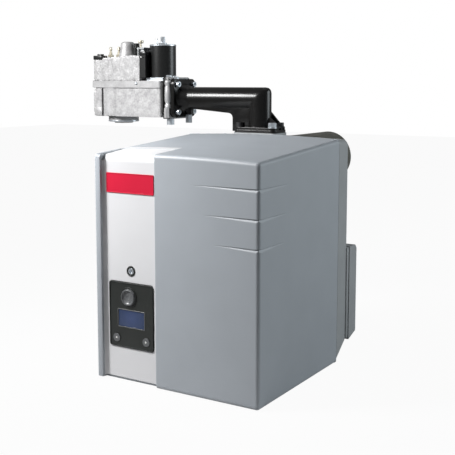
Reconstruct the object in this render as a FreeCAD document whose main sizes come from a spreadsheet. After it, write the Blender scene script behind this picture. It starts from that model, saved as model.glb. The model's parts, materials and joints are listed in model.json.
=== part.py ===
import FreeCAD, Part
import math
import os
import re
import Sketcher

# Monobloc forced-draught gas burner.
# Millimetres. The origin is the middle of the boiler mounting face, on the axis of the burner tube.
# +X is to the right seen from the front, the front looks towards -Y, the tube points along +Y, +Z is up.

doc = FreeCAD.newDocument("GasBurner")
sheet = doc.addObject("Spreadsheet::Sheet", "Sizes")

SIZES = {
    # where the body lies round the tube axis, and how far its rear wall stands in front of the boiler
    "axis_from_left": 137.0,
    "axis_below_top": 38.0,
    "rear_stand": 34.0,
    # hood, a thin moulding that opens at the back only
    "hood_width": 300.0,
    "hood_height": 361.0,
    "hood_depth": 265.0,
    "hood_rise": 18.0,
    "hood_crown": 4.0,
    "hood_wall": 3.0,
    "hood_round": 6.0,
    "hood_gap": 0.5,
    # channel in the hood's front for the light panel, and the panel
    "channel_left": 6.0,
    "channel_right": 117.4,
    "channel_flank": 5.0,
    "panel_recess": 8.0,
    "panel_thick": 2.5,
    "panel_fit": 0.3,
    "panel_foot": 4.0,
    "panel_round": 11.0,
    "tongue_depth": 60.0,
    # three step grooves round the front right corner
    "groove_top": 323.0,
    "groove_pitch": 43.0,
    "groove_count": 3.0,
    "groove_height": 7.0,
    "groove_deep": 2.2,
    "groove_run": 127.0,
    "groove_run_less": 22.0,
    "groove_side_run": 113.0,
    "groove_side_less": 13.0,
    # display unit and its keys
    "display_x": -72.4,
    "display_up": 107.1,
    "display_width": 86.0,
    "display_height": 105.0,
    "display_gap": 0.8,
    "display_proud": 1.0,
    "bezel_thick": 5.0,
    "bezel_round": 5.0,
    "lcd_width": 52.0,
    "lcd_height": 28.0,
    "lcd_drop": 5.3,
    "lcd_thick": 1.5,
    "lcd_sunk": 0.5,
    "reset_rise": 29.2,
    "reset_left": 4.5,
    "reset_radius": 13.6,
    "reset_proud": 4.0,
    "reset_length": 11.0,
    "reset_rim": 1.5,
    "reset_dish": 2.5,
    "reset_dish_radius": 5.0,
    "key_drop": 38.4,
    "key_spread": 29.1,
    "key_radius": 6.7,
    "key_proud": 1.0,
    "key_length": 6.0,
    "key_fit": 0.3,
    "key_room": 5.5,
    "unit_depth": 40.0,
    "unit_rim": 2.0,
    "bracket_thick": 2.0,
    "bracket_rim": 8.0,
    "bracket_above": 12.0,
    "bracket_arm": 20.0,
    "bracket_arm_thick": 3.0,
    "bracket_reach": 53.0,
    "nut_boss_radius": 6.5,
    "nut_boss_length": 18.0,
    # badge plate and hood screw
    "badge_width": 92.0,
    "badge_height": 31.5,
    "badge_thick": 1.0,
    "badge_round": 2.0,
    "badge_below_top": 44.2,
    "screw_over_display": 71.4,
    "screw_head_radius": 5.0,
    "screw_head_length": 3.0,
    "screw_cup_radius": 6.0,
    "screw_radius": 2.5,
    "screw_length": 45.0,
    "screw_fit": 0.1,
    # cast rear shell that carries everything
    "shell_wall": 4.0,
    "shell_depth": 50.5,
    "shell_taper": 5.0,
    "shell_top_fall": 4.0,
    "shell_bottom_rise": 26.0,
    "shell_round": 10.0,
    # boiler flange with its gasket
    "gasket_thick": 2.0,
    "flange_half": 54.0,
    "flange_thick": 10.0,
    "flange_round": 9.0,
    "flange_hole_radius": 4.5,
    "flange_pcd": 130.0,
    "flange_neck_wall": 5.0,
    # burner tube
    "tube_radius": 50.0,
    "tube_wall": 2.0,
    "tube_length": 218.0,
    "tube_collar": 1.5,
    "tube_fit": 0.1,
    # gas foot, elbow and pipe
    "gas_x": -3.0,
    "gas_before_wall": 24.0,
    "pad_top": 61.5,
    "pad_bottom": 47.0,
    "pad_rim": 1.0,
    "foot_gasket": 1.5,
    "foot_width": 84.0,
    "foot_depth": 46.0,
    "foot_low": 3.5,
    "foot_high": 4.5,
    "foot_step": 2.0,
    "foot_round": 8.0,
    "foot_screw_x": 33.0,
    "foot_screw_y": 15.0,
    "foot_screw_radius": 4.0,
    "foot_screw_length": 17.0,
    "foot_head_radius": 6.0,
    "foot_head_length": 8.0,
    "column_radius": 19.0,
    "pipe_radius": 20.5,
    "pipe_bore": 16.0,
    "pipe_z": 120.5,
    "pipe_left": -164.0,
    "corner_chamfer": 9.0,
    "corner_right": 19.0,
    "web_thick": 24.0,
    "web_foot": 50.0,
    "web_top": 135.0,
    "gusset_thick": 8.0,
    "gusset_foot": 40.0,
    "gusset_top": 104.0,
    "hub_radius": 27.0,
    "hub_length": 18.0,
    "boss_x": -155.0,
    "boss_radius": 8.0,
    "boss_bottom": 90.0,
    "plug_radius": 6.5,
    "plug_length": 15.0,
    # joint between pipe and valve
    "joint_half": 35.0,
    "joint_round": 10.0,
    "joint_thick": 10.0,
    "joint_screw": 25.2,
    "joint_screw_radius": 3.0,
    "joint_head_radius": 5.0,
    "joint_head_length": 6.0,
    "joint_screw_length": 22.0,
    "adapter_thick": 14.0,
    "adapter_half_y": 34.0,
    "adapter_half_z": 38.0,
    "adapter_plug_radius": 6.8,
    "adapter_plug_length": 11.0,
    "adapter_plug_y": -22.0,
    "seal_thick": 3.5,
    "seal_half_y": 37.0,
    "seal_half_z": 31.0,
    # gas valve
    "valve_length": 157.0,
    "valve_half": 37.0,
    "valve_bottom": 85.0,
    "valve_split": 139.0,
    "valve_plate": 13.0,
    "valve_over": 6.5,
    "valve_round": 5.0,
    "valve_groove_x": 16.5,
    "valve_groove_width": 14.0,
    "valve_groove_deep": 4.0,
    "head_height": 46.0,
    "head_length": 110.0,
    "head_inset": 3.5,
    "head_rib": 3.0,
    "cover_x": 40.5,
    "cover_radius": 29.0,
    "cover_height": 9.0,
    "coil_x": 21.5,
    "coil_base_half": 26.0,
    "coil_base": 6.0,
    "coil_radius": 24.5,
    "coil_height": 60.5,
    "coil_chamfer": 2.0,
    "terminal_width": 13.0,
    "terminal_depth": 18.0,
    "terminal_height": 45.0,
    "terminal_x": -21.7,
    "terminal_y": -26.0,
    "adjuster_gap": 0.3,
    "adjuster_radius": 4.2,
    "adjuster_height": 15.0,
    "adjuster_pin": 2.0,
    "adjuster_pin_length": 9.0,
    "pin_fit": 0.05,
    "dome_x": 55.0,
    "dome_radius": 13.5,
    "dome_height": 27.0,
    "cap_x": 77.0,
    "cap_radius": 7.5,
    "cap_height": 14.0,
    "nipple_x": 13.5,
    "nipple_pitch": 20.0,
    "nipple_radius": 4.0,
    "nipple_height": 10.0,
    "connector_length": 34.0,
    "connector_width": 18.0,
    "connector_height": 8.0,
    "inlet_thick": 12.0,
    "inlet_half": 26.0,
    "inlet_bore": 15.1,
    "inlet_z": 112.0,
    "inlet_depth": 30.0,
    # fan, scroll and motor
    "fan_before_wall": 118.0,
    "fan_up": 128.0,
    "fan_radius": 74.0,
    "fan_inner": 60.0,
    "fan_width": 56.0,
    "fan_blades": 28.0,
    "blade_thick": 1.4,
    "blade_lean": 9.0,
    "blade_bow": 0.35,
    "fan_disc": 2.0,
    "hub_size": 13.0,
    "scroll_radius": 88.0,
    "scroll_growth": 9.0,
    "scroll_half": 36.0,
    "scroll_wall": 3.0,
    "tongue_angle": 64.0,
    "inlet_ring": 58.0,
    "inlet_lip": 6.0,
    "lug_radius": 6.0,
    "lug_length": 18.0,
    "lug_screw": 2.0,
    "lug_head": 3.5,
    "shaft_radius": 6.0,
    "shaft_hole": 12.0,
    "shaft_left": -108.0,
    "shaft_right": 14.0,
    "motor_radius": 42.0,
    "motor_length": 80.0,
    "motor_cap": 9.0,
    "motor_flange": 50.0,
    "motor_flange_thick": 4.0,
    "motor_ribs": 12.0,
    # head chamber over the scroll
    "chamber_half": 58.0,
    "chamber_bottom": -60.0,
    "chamber_wall": 3.0,
    # air box, damper and servo
    "air_x": 100.0,
    "air_below_fan": 15.0,
    "damper_radius": 34.0,
    "damper_wall": 3.0,
    "damper_flange": 5.0,
    "damper_before_wall": 26.0,
    "flap_fit": 0.6,
    "flap_thick": 2.0,
    "flap_shaft": 3.0,
    "flap_shaft_low": 40.0,
    "suction_right": 140.0,
    "suction_before_fan": 120.0,
    "suction_before_wall": 48.5,
    "suction_above": 80.0,
    "suction_below": 80.0,
    "suction_round": 8.0,
    "suction_wall": 3.0,
    "servo_above": 40.0,
    "servo_height": 45.0,
    "servo_half_x": 20.0,
    "servo_half_y": 18.0,
    "dial_radius": 15.0,
    "dial_height": 4.0,
    "box_left": 43.0,
    "box_right": 162.0,
    "box_above": 79.0,
    "box_depth": 33.0,
    "box_front_below": 85.0,
    "box_rear_below": 74.0,
    "box_slant": 10.0,
    "box_round": 5.0,
    "box_wall": 3.0,
    "grille_low": 24.0,
    "grille_high": 16.0,
    "grille_rim": 6.0,
    "grille_slots": 9.0,
    "grille_slot": 6.0,
    # mixing head
    "lance_radius": 10.0,
    "lance_hollow": 8.0,
    "lance_before_gas": 38.0,
    "lance_plug": 36.0,
    "lance_end": 150.0,
    "block_half": 18.0,
    "block_bottom": -16.0,
    "block_port": 8.0,
    "nozzle_radius": 17.0,
    "nozzle_hollow": 12.0,
    "nozzle_length": 38.0,
    "nozzle_wall": 4.0,
    "nozzle_slots": 8.0,
    "nozzle_slot_width": 4.0,
    "nozzle_slot_length": 12.0,
    "disc_radius": 44.0,
    "disc_thick": 1.5,
    "disc_y": 180.0,
    "disc_slots": 8.0,
    "slot_inner": 22.0,
    "slot_outer": 40.0,
    "slot_width": 5.0,
    "vane_lean": 35.0,
    "rod_radius": 4.0,
    "rod_ring": 27.0,
    "rod_start": -30.0,
    "rod_end": 188.0,
    "rod_fit": 0.3,
    "clamp_thick": 6.0,
    "clamp_half": 34.0,
    "clamp_top": 42.0,
    "clamp_bottom": -26.0,
    "clamp_first": 20.0,
    "clamp_pitch": 100.0,
    "spindle_radius": 3.0,
    "spindle_fit": 0.05,
    "spindle_behind_fan": 20.0,
    "spindle_in_lance": 20.0,
    "spindle_knob": 9.0,
    "spindle_knob_length": 10.0,
    "spindle_boss": 8.0,
    "spindle_boss_length": 5.0,
    # equipment behind the hood
    "plate_thick": 2.0,
    "plate_behind_hood": 50.0,
    "plate_before_wall": 26.0,
    "plate_bottom": -85.0,
    "plate_top": 20.0,
    "transformer_back": 15.0,
    "transformer_length": 70.0,
    "transformer_bottom": -72.0,
    "transformer_height": 72.0,
    "transformer_width": 52.0,
    "outlet_radius": 7.0,
    "outlet_length": 12.0,
    "control_back": 100.0,
    "control_length": 74.0,
    "control_bottom": -80.0,
    "control_height": 92.0,
    "control_width": 46.0,
    "socket_x": -112.0,
    "socket_up": 61.0,
    "socket_width": 52.0,
    "socket_height": 30.0,
    "socket_depth": 12.0,
}

# Places that follow from the sizes, each as a formula in the sizes and in other places.
PLACES = {
    "top": "axis_below_top",
    "bottom": "top - hood_height",
    "rear_wall": "-rear_stand",
    "crease": "rear_wall - shell_depth - hood_gap",
    "front": "crease - hood_depth",
    "display_z": "bottom + display_up",
    "screw_z": "display_z + screw_over_display",
    "badge_z": "top - badge_below_top",
    "gas_y": "rear_wall - gas_before_wall",
    "fan_y": "rear_wall - fan_before_wall",
    "fan_z": "bottom + fan_up",
    "bracket_arm_end": "fan_y - bracket_reach",
    "air_z": "fan_z - air_below_fan",
    "damper_axis": "rear_wall - damper_before_wall",
    "suction_front": "fan_y - suction_before_fan",
    "suction_rear": "rear_wall - suction_before_wall",
    "suction_top": "air_z + suction_above",
    "suction_bottom": "air_z - suction_below",
    "servo_bottom": "air_z + servo_above",
    "box_top": "air_z + box_above",
    "box_rear": "rear_wall + box_depth",
    "box_front_bottom": "air_z - box_front_below",
    "box_rear_bottom": "air_z - box_rear_below",
    "lance_start": "gas_y - lance_before_gas",
    "spindle_start": "fan_y + spindle_behind_fan",
    "spindle_end": "lance_start + spindle_in_lance",
    "plate_front": "front + plate_behind_hood",
    "plate_rear": "rear_wall - plate_before_wall",
    "transformer_front": "plate_front + transformer_back",
    "control_front": "plate_front + control_back",
    "socket_z": "bottom + socket_up",
}

for row, (alias, value) in enumerate(SIZES.items(), start=1):
    sheet.set("A%d" % row, alias)
    sheet.set("B%d" % row, str(value))
    sheet.setAlias("B%d" % row, alias)
doc.recompute()

nodes = []
workings = doc.addObject("Spreadsheet::Sheet", "Workings")


def linked(text):
    """The expression with each place written out and each size turned into a link to its cell."""
    def link(match):
        word = match.group()
        if word in PLACES:
            return "(" + linked(PLACES[word]) + ")"
        return "Sizes." + word if word in SIZES else word
    return re.sub(r"[a-z][a-z0-9_]*", link, str(text))


def worth(text):
    """The number that an expression stands for."""
    workings.set("A1", "=" + linked(text))
    workings.recompute()
    return float(workings.get("A1"))


def bind(thing, prop, text):
    thing.setExpression(prop, linked(text))


def place(thing, at, turn=None):
    if turn is not None:
        thing.Placement = FreeCAD.Placement(FreeCAD.Vector(), turn)
    for letter, text in zip("xyz", at):
        bind(thing, "Placement.Base." + letter, text)
    return thing


def along(axis):
    """The turn that lays a piece drawn along +Z on another axis."""
    towards = {
        "+x": (1, 0, 0), "-x": (-1, 0, 0),
        "+y": (0, 1, 0), "-y": (0, -1, 0),
        "+z": (0, 0, 1), "-z": (0, 0, -1),
    }[axis]
    return FreeCAD.Rotation(FreeCAD.Vector(0, 0, 1), FreeCAD.Vector(*towards))


def block(size, at):
    """A box from its three lengths and its lowest corner."""
    solid = doc.addObject("Part::Box", "block")
    for prop, text in zip(("Length", "Width", "Height"), size):
        bind(solid, prop, text)
    return place(solid, at)


def span(x, y, z):
    """A box from the two ends of each side."""
    pairs = (x, y, z)
    size = ["(%s) - (%s)" % (high, low) for low, high in pairs]
    return block(size, [low for low, high in pairs])


def rod(radius, length, at, axis="+z"):
    solid = doc.addObject("Part::Cylinder", "rod")
    bind(solid, "Radius", radius)
    bind(solid, "Height", length)
    return place(solid, at, along(axis))


def taper(radius, end_radius, length, at, axis="+z"):
    solid = doc.addObject("Part::Cone", "taper")
    bind(solid, "Radius1", radius)
    bind(solid, "Radius2", end_radius)
    bind(solid, "Height", length)
    return place(solid, at, along(axis))


def bar(radius, axis, low, high, across):
    """A round bar from one coordinate to another along x, y or z; across: its other two."""
    at = list(across)
    at.insert("xyz".index(axis), low)
    return rod(radius, "(%s) - (%s)" % (high, low), at, "+" + axis)


def cone(radius, end_radius, axis, low, high, across):
    """A tapered bar from one coordinate to another along x, y or z; across: its other two."""
    at = list(across)
    at.insert("xyz".index(axis), low)
    return taper(radius, end_radius, "(%s) - (%s)" % (high, low), at, "+" + axis)


def middle(centre, half):
    """The two ends of a length from its middle and its half."""
    return ("%s - (%s)" % (centre, half), "%s + (%s)" % (centre, half))


def join(*parts):
    solid = doc.addObject("Part::MultiFuse", "join")
    solid.Shapes = list(parts)
    return solid


def cut(base, *tools):
    solid = doc.addObject("Part::Cut", "cut")
    solid.Base = base
    solid.Tool = tools[0] if len(tools) == 1 else join(*tools)
    return solid


def set_of(*parts):
    """Separate solids kept as one node."""
    group = doc.addObject("Part::Compound", "set")
    group.Links = list(parts)
    return group


def node(thing, name):
    """Marks a finished piece, which is written to a file of this name."""
    thing.Label = name
    nodes.append(thing)
    return thing


def feature(shape):
    """A piece whose form is worked out below from the sheet's sizes."""
    solid = doc.addObject("Part::Feature", "form")
    solid.Shape = shape
    return solid


def new_sketch(body, plane, lift):
    flat = body.newObject("Sketcher::SketchObject", "outline")
    origin = [item for item in body.Origin.OriginFeatures if item.Role == plane][0]
    flat.AttachmentSupport = [(origin, "")]
    flat.MapMode = "FlatFace"
    bind(flat, "AttachmentOffset.Base.z", lift)
    return flat


def pin(flat, item, point, x, y):
    """Fixes one point of a sketch at two expressions."""
    for kind, text in (("DistanceX", x), ("DistanceY", y)):
        index = flat.addConstraint(Sketcher.Constraint(kind, -1, 1, item, point, worth(text)))
        bind(flat, "Constraints[%d]" % index, text)


def fix_radius(flat, item, radius):
    index = flat.addConstraint(Sketcher.Constraint("Radius", item, worth(radius)))
    bind(flat, "Constraints[%d]" % index, radius)


def spot(x, y):
    return FreeCAD.Vector(worth(x), worth(y), 0)


def sketch(body, plane, corners=(), circles=(), lift="0"):
    """A closed outline of straight sides, and circles, on one of the body's own planes."""
    flat = new_sketch(body, plane, lift)
    count = len(corners)
    spots = [spot(x, y) for x, y in corners]
    for i in range(count):
        flat.addGeometry(Part.LineSegment(spots[i], spots[(i + 1) % count]), False)
    for i in range(count):
        flat.addConstraint(Sketcher.Constraint("Coincident", i, 2, (i + 1) % count, 1))
    for i, (x, y) in enumerate(corners):
        pin(flat, i, 1, x, y)
    for x, y, radius in circles:
        circle = Part.Circle(spot(x, y), FreeCAD.Vector(0, 0, 1), worth(radius))
        item = flat.addGeometry(circle, False)
        pin(flat, item, 3, x, y)
        fix_radius(flat, item, radius)
    return flat


def crowned_form(y, x, bottom, top, crown):
    """A box whose top rises to the rear and is a very flat arch from side to side.

    y, x: the two ends of those sides; bottom and top: heights at the front and at the rear.
    """
    y = [worth(text) for text in y]
    x = [worth(text) for text in x]
    bottom = [worth(text) for text in bottom]
    top = [worth(text) for text in top]
    crown = worth(crown)
    roof = max(top) + 4 * crown
    side = Part.makePolygon([
        FreeCAD.Vector(x[0], y[0], bottom[0]),
        FreeCAD.Vector(x[0], y[1], bottom[1]),
        FreeCAD.Vector(x[0], y[1], roof),
        FreeCAD.Vector(x[0], y[0], roof),
        FreeCAD.Vector(x[0], y[0], bottom[0]),
    ])
    prism = Part.Face(side).extrude(FreeCAD.Vector(x[1] - x[0], 0, 0))
    half = (x[1] - x[0]) / 2
    radius = (half ** 2 + crown ** 2) / (2 * crown)
    slope = FreeCAD.Vector(0, y[1] - y[0], top[1] - top[0])
    slope.normalize()
    ridge = FreeCAD.Vector(x[0] + half, y[0], top[0] + crown)
    middle = ridge - FreeCAD.Vector(0, -slope.z, slope.y) * radius
    reach = radius
    arch = Part.makeCylinder(radius, 2 * reach, middle - slope * reach, slope)
    return prism.common(arch)


def rounded_edges(shape, radius, pick):
    """The shape with the edges that the test picks rounded."""
    return shape.makeFillet(worth(radius), [edge for edge in shape.Edges if pick(edge)])


def new_body():
    return doc.addObject("PartDesign::Body", "body")


def pad(body, flat, length, both_ways=False):
    """The outline pushed out along its plane's own normal."""
    solid = body.newObject("PartDesign::Pad", "pad")
    solid.Profile = flat
    bind(solid, "Length", length)
    solid.Midplane = both_ways
    return solid


def pocket(body, flat):
    """The outline cut through the whole body, both ways."""
    hole = body.newObject("PartDesign::Pocket", "pocket")
    hole.Profile = flat
    hole.Type = "ThroughAll"
    hole.Midplane = True
    return hole


def soften(body, radius, pick):
    """Rounds the body's edges that the test picks."""
    doc.recompute()
    base = body.Tip
    names = ["Edge%d" % (i + 1) for i, edge in enumerate(base.Shape.Edges) if pick(edge)]
    rounding = body.newObject("PartDesign::Fillet", "rounding")
    rounding.Base = (base, names)
    bind(rounding, "Radius", radius)
    return rounding


def runs_along(edge, axis):
    """True for a straight edge that lies along an axis."""
    if not isinstance(edge.Curve, Part.Line):
        return False
    direction = edge.Curve.Direction
    return abs(abs(getattr(direction, axis)) - 1.0) < 1e-6


def plate(x, z, y, radius):
    """A plate that stands across Y, with its four corners rounded."""
    body = new_body()
    corners = [(x[0], z[0]), (x[1], z[0]), (x[1], z[1]), (x[0], z[1])]
    flat = sketch(body, "XZ_Plane", corners, lift="-(%s)" % y[1])
    pad(body, flat, "(%s) - (%s)" % (y[1], y[0]))
    soften(body, radius, lambda edge: runs_along(edge, "y"))
    return body


def level_plate(x, y, z, radius):
    """A plate that lies level, with its four corners rounded."""
    body = new_body()
    corners = [(x[0], y[0]), (x[1], y[0]), (x[1], y[1]), (x[0], y[1])]
    flat = sketch(body, "XY_Plane", corners, lift=z[0])
    pad(body, flat, "(%s) - (%s)" % (z[1], z[0]))
    soften(body, radius, lambda edge: runs_along(edge, "z"))
    return body


def side_plate(y, z, x, radius):
    """A plate that stands across X, with its four corners rounded."""
    body = new_body()
    corners = [(y[0], z[0]), (y[1], z[0]), (y[1], z[1]), (y[0], z[1])]
    flat = sketch(body, "YZ_Plane", corners, lift=x[0])
    pad(body, flat, "(%s) - (%s)" % (x[1], x[0]))
    soften(body, radius, lambda edge: runs_along(edge, "x"))
    return body


def hexagon(radius, length, at, axis="+z"):
    """A six-sided bar; the radius reaches its corners."""
    solid = doc.addObject("Part::Prism", "hexagon")
    bind(solid, "Circumradius", radius)
    bind(solid, "Height", length)
    return place(solid, at, along(axis))


def top_of_head(at, axis, head_length):
    """The outer end of a screw's head that seats at the given point."""
    sign = -1 if axis[0] == "+" else 1
    letter = "xyz".index(axis[1])
    top = list(at)
    top[letter] = "%s + (%d) * (%s)" % (at[letter], sign, head_length)
    return top


def socket_screw(at, axis, shank, length, head, head_length):
    """A cap screw whose head seats at the given point, with its shank along the axis."""
    top = top_of_head(at, axis, head_length)
    body = rod(head, head_length, top, axis)
    stem = rod(shank, length, at, axis)
    socket = hexagon("(%s) * 0.58" % head, "(%s) * 0.6" % head_length, top, axis)
    return cut(join(body, stem), socket)


def hexagon_screw(at, axis, shank, length, head, head_length):
    """A screw with a plain six-sided head that seats at the given point."""
    body = hexagon(head, head_length, top_of_head(at, axis, head_length), axis)
    return join(body, rod(shank, length, at, axis))


# The outer faces of the hood, and the places that follow from them.
LEFT = "-axis_from_left"
RIGHT = "hood_width - axis_from_left"
BOTTOM = "bottom"
TOP = "top"
FRONT = "front"
CREASE = "crease"
REAR_TOP = TOP + " + hood_rise"
REAR_WALL = "rear_wall"
PANEL_FACE = FRONT + " + panel_recess"
PANEL_BACK = PANEL_FACE + " + panel_thick"
PANEL_LEFT = LEFT + " + channel_left + channel_flank"
RIGHT_OF_CHANNEL = LEFT + " + channel_right"


def lies_at(edge, axis, value):
    """True for an edge whose two ends have the same given coordinate."""
    return all(abs(getattr(corner.Point, axis) - value) < 0.01 for corner in edge.Vertexes)


def hood_shape():
    """The hood: a crowned box, hollow from behind, with a channel, grooves and two openings."""
    outer = crowned_form((FRONT, CREASE), (LEFT, RIGHT), (BOTTOM, BOTTOM), (TOP, REAR_TOP), "hood_crown")
    rear_y = worth(CREASE)
    outer = rounded_edges(outer, "hood_round", lambda edge: not lies_at(edge, "y", rear_y))
    wall_rise = "hood_rise * hood_wall / hood_depth"
    hollow = crowned_form(
        (FRONT + " + hood_wall", CREASE + " + 1"),
        (LEFT + " + hood_wall", RIGHT + " - hood_wall"),
        (BOTTOM + " + hood_wall", BOTTOM + " + hood_wall"),
        (TOP + " - hood_wall + " + wall_rise, REAR_TOP + " - hood_wall"),
        "hood_crown",
    )
    backing = channel_form("hood_wall", RIGHT_OF_CHANNEL + " + hood_wall", LEFT)
    channel = channel_form("0", RIGHT_OF_CHANNEL, PANEL_LEFT + " - panel_fit")
    flank = new_body()
    outline = sketch(flank, "XY_Plane", [
        (LEFT + " + channel_left", FRONT + " - 1"),
        (PANEL_LEFT, FRONT + " - 1"),
        (PANEL_LEFT, PANEL_FACE),
        (PANEL_LEFT + " - panel_fit", PANEL_FACE),
        (LEFT + " + channel_left", FRONT),
    ], lift=BOTTOM + " - 1")
    pad(flank, outline, "hood_height + 2 * hood_rise")
    wall_back = PANEL_BACK + " + hood_wall + 1"
    window = display_window(FRONT, wall_back)
    screw_hole = bar("screw_radius + panel_fit", "y", FRONT, wall_back, ("display_x", "screw_z"))
    space = cut(feature(hollow), backing)
    return cut(feature(outer), space, channel, flank, window, screw_hole, *corner_grooves())


def channel_form(sunk, right, left):
    """The space in front of the channel's floor and over its top, with its bend rounded."""
    body = new_body()
    floor_y = PANEL_FACE + " + panel_thick + " + sunk
    floor_z = TOP + " - panel_thick - " + sunk
    rear_y = FRONT + " + tongue_depth + panel_fit + " + sunk
    outline = sketch(body, "YZ_Plane", [
        (FRONT + " - 1", BOTTOM + " - 1"),
        (floor_y, BOTTOM + " - 1"),
        (floor_y, floor_z),
        (rear_y, floor_z),
        (rear_y, TOP + " + 2 * hood_rise"),
        (FRONT + " - 1", TOP + " + 2 * hood_rise"),
    ], lift=left)
    pad(body, outline, "(%s) - (%s)" % (right, left))
    soften(body, "panel_round - panel_thick - " + sunk, at_corner(floor_y, floor_z))
    return body


def corner_grooves():
    """Wedges that cut a step round the front right corner and fade out on both faces."""
    cutters = []
    corner_x, corner_y = worth(RIGHT), worth(FRONT)
    clear = 1.0
    for step in range(int(worth("groove_count"))):
        ledge_z = worth("%s + groove_top - %d * groove_pitch" % (BOTTOM, step))
        foot_z = ledge_z - worth("groove_height")
        run = worth("groove_run - %d * groove_run_less" % step)
        side_run = worth("groove_side_run - %d * groove_side_less" % step)
        deep = worth("groove_deep")
        front_end = FreeCAD.Vector(corner_x - run, corner_y, ledge_z)
        side_end = FreeCAD.Vector(corner_x, corner_y + side_run, ledge_z)
        inner = FreeCAD.Vector(corner_x - deep, corner_y + deep, ledge_z)
        outer = FreeCAD.Vector(corner_x + clear, corner_y - clear, ledge_z)
        lower = FreeCAD.Vector(corner_x + clear, corner_y - clear, foot_z)
        faces = [
            (front_end, outer, side_end, inner),
            (front_end, inner, lower),
            (inner, side_end, lower),
            (front_end, lower, outer),
            (side_end, outer, lower),
        ]
        skin = [Part.Face(Part.makePolygon(list(face) + [face[0]])) for face in faces]
        cutters.append(feature(Part.makeSolid(Part.makeShell(skin))))
    return cutters


def at_corner(y, z):
    """Picks the straight edge along X that passes through a point of the side view."""
    corner_y, corner_z = worth(y), worth(z)

    def pick(edge):
        point = edge.Vertexes[0].Point
        return runs_along(edge, "x") and abs(point.y - corner_y) < 0.01 and abs(point.z - corner_z) < 0.01

    return pick


def display_window(low_y, high_y):
    """The opening that the display's frame looks through."""
    return plate(
        middle("display_x", "display_width / 2 + display_gap"),
        middle("display_z", "display_height / 2 + display_gap"),
        (low_y, high_y), "bezel_round + display_gap")


def front_panel():
    """The light panel: it covers the channel, bends over its top and ends in a tongue."""
    body = new_body()
    under = TOP + " - panel_thick"
    tongue_end = FRONT + " + tongue_depth"
    outline = sketch(body, "YZ_Plane", [
        (PANEL_FACE, BOTTOM + " + panel_foot"),
        (PANEL_BACK, BOTTOM + " + panel_foot"),
        (PANEL_BACK, under),
        (tongue_end, under),
        (tongue_end, TOP),
        (PANEL_FACE, TOP),
    ], lift=PANEL_LEFT)
    pad(body, outline, "channel_right - channel_left - channel_flank - panel_fit")
    soften(body, "panel_round", at_corner(PANEL_FACE, TOP))
    soften(body, "panel_round - panel_thick", at_corner(PANEL_BACK, under))
    cup = bar("screw_cup_radius", "y", FRONT, PANEL_BACK + " + 1", ("display_x", "screw_z"))
    return cut(body, display_window(FRONT, PANEL_BACK + " + 1"), cup)


# Hood with its panel, plate and screw.
node(hood_shape(), "hood")
node(front_panel(), "front_panel")
node(plate(middle("display_x", "badge_width / 2"), middle("badge_z", "badge_height / 2"),
           (PANEL_FACE + " - badge_thick", PANEL_FACE), "badge_round"), "badge_plate")
node(socket_screw(("display_x", PANEL_BACK, "screw_z"), "+y", "screw_radius", "screw_length",
                  "screw_head_radius", "screw_head_length"), "hood_screw")

# Display unit: a frame, a module behind it, a round button and two small keys.
BEZEL_FACE = PANEL_FACE + " - display_proud"
BEZEL_BACK = BEZEL_FACE + " + bezel_thick"
UNIT_BACK = BEZEL_BACK + " + unit_depth"
RESET_AT = ("display_x - reset_left", "display_z + reset_rise")
LEFT_KEY_AT = ("display_x - key_spread", "display_z - key_drop")
RIGHT_KEY_AT = ("display_x + key_spread", "display_z - key_drop")
LCD_X = middle("display_x", "lcd_width / 2")
LCD_Z = middle("display_z - lcd_drop", "lcd_height / 2")


def key_holes(low_y, high_y):
    return [
        bar("reset_radius + key_fit", "y", low_y, high_y, RESET_AT),
        bar("key_radius + key_fit", "y", low_y, high_y, LEFT_KEY_AT),
        bar("key_radius + key_fit", "y", low_y, high_y, RIGHT_KEY_AT),
    ]


def display_plate(y, rim, radius):
    return plate(middle("display_x", "display_width / 2 - (%s)" % rim),
                 middle("display_z", "display_height / 2 - (%s)" % rim), y, radius)


def round_key(radius, proud, length, at):
    """A plain push key that stands out of the frame."""
    low = BEZEL_FACE + " - (%s)" % proud
    return bar(radius, "y", low, low + " + (%s)" % length, at)


recess = span(LCD_X, (BEZEL_FACE, BEZEL_FACE + " + lcd_thick + lcd_sunk"), LCD_Z)
node(cut(display_plate((BEZEL_FACE, BEZEL_BACK), "0", "bezel_round"), recess, *key_holes(FRONT, BEZEL_BACK + " + 1")),
     "display_bezel")
node(cut(display_plate((BEZEL_BACK, UNIT_BACK), "unit_rim", "bezel_round - unit_rim"),
         *key_holes(BEZEL_BACK + " - 1", BEZEL_BACK + " + key_room")), "control_unit")
node(span(LCD_X, (BEZEL_FACE + " + lcd_sunk", BEZEL_FACE + " + lcd_sunk + lcd_thick"), LCD_Z), "lcd_window")
dish = cone("reset_radius - reset_rim", "reset_dish_radius", "y", BEZEL_FACE + " - reset_proud",
            BEZEL_FACE + " - reset_proud + reset_dish", RESET_AT)
node(cut(round_key("reset_radius", "reset_proud", "reset_length", RESET_AT), dish), "reset_button")
node(round_key("key_radius", "key_proud", "key_length", LEFT_KEY_AT), "left_key")
node(round_key("key_radius", "key_proud", "key_length", RIGHT_KEY_AT), "right_key")


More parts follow.
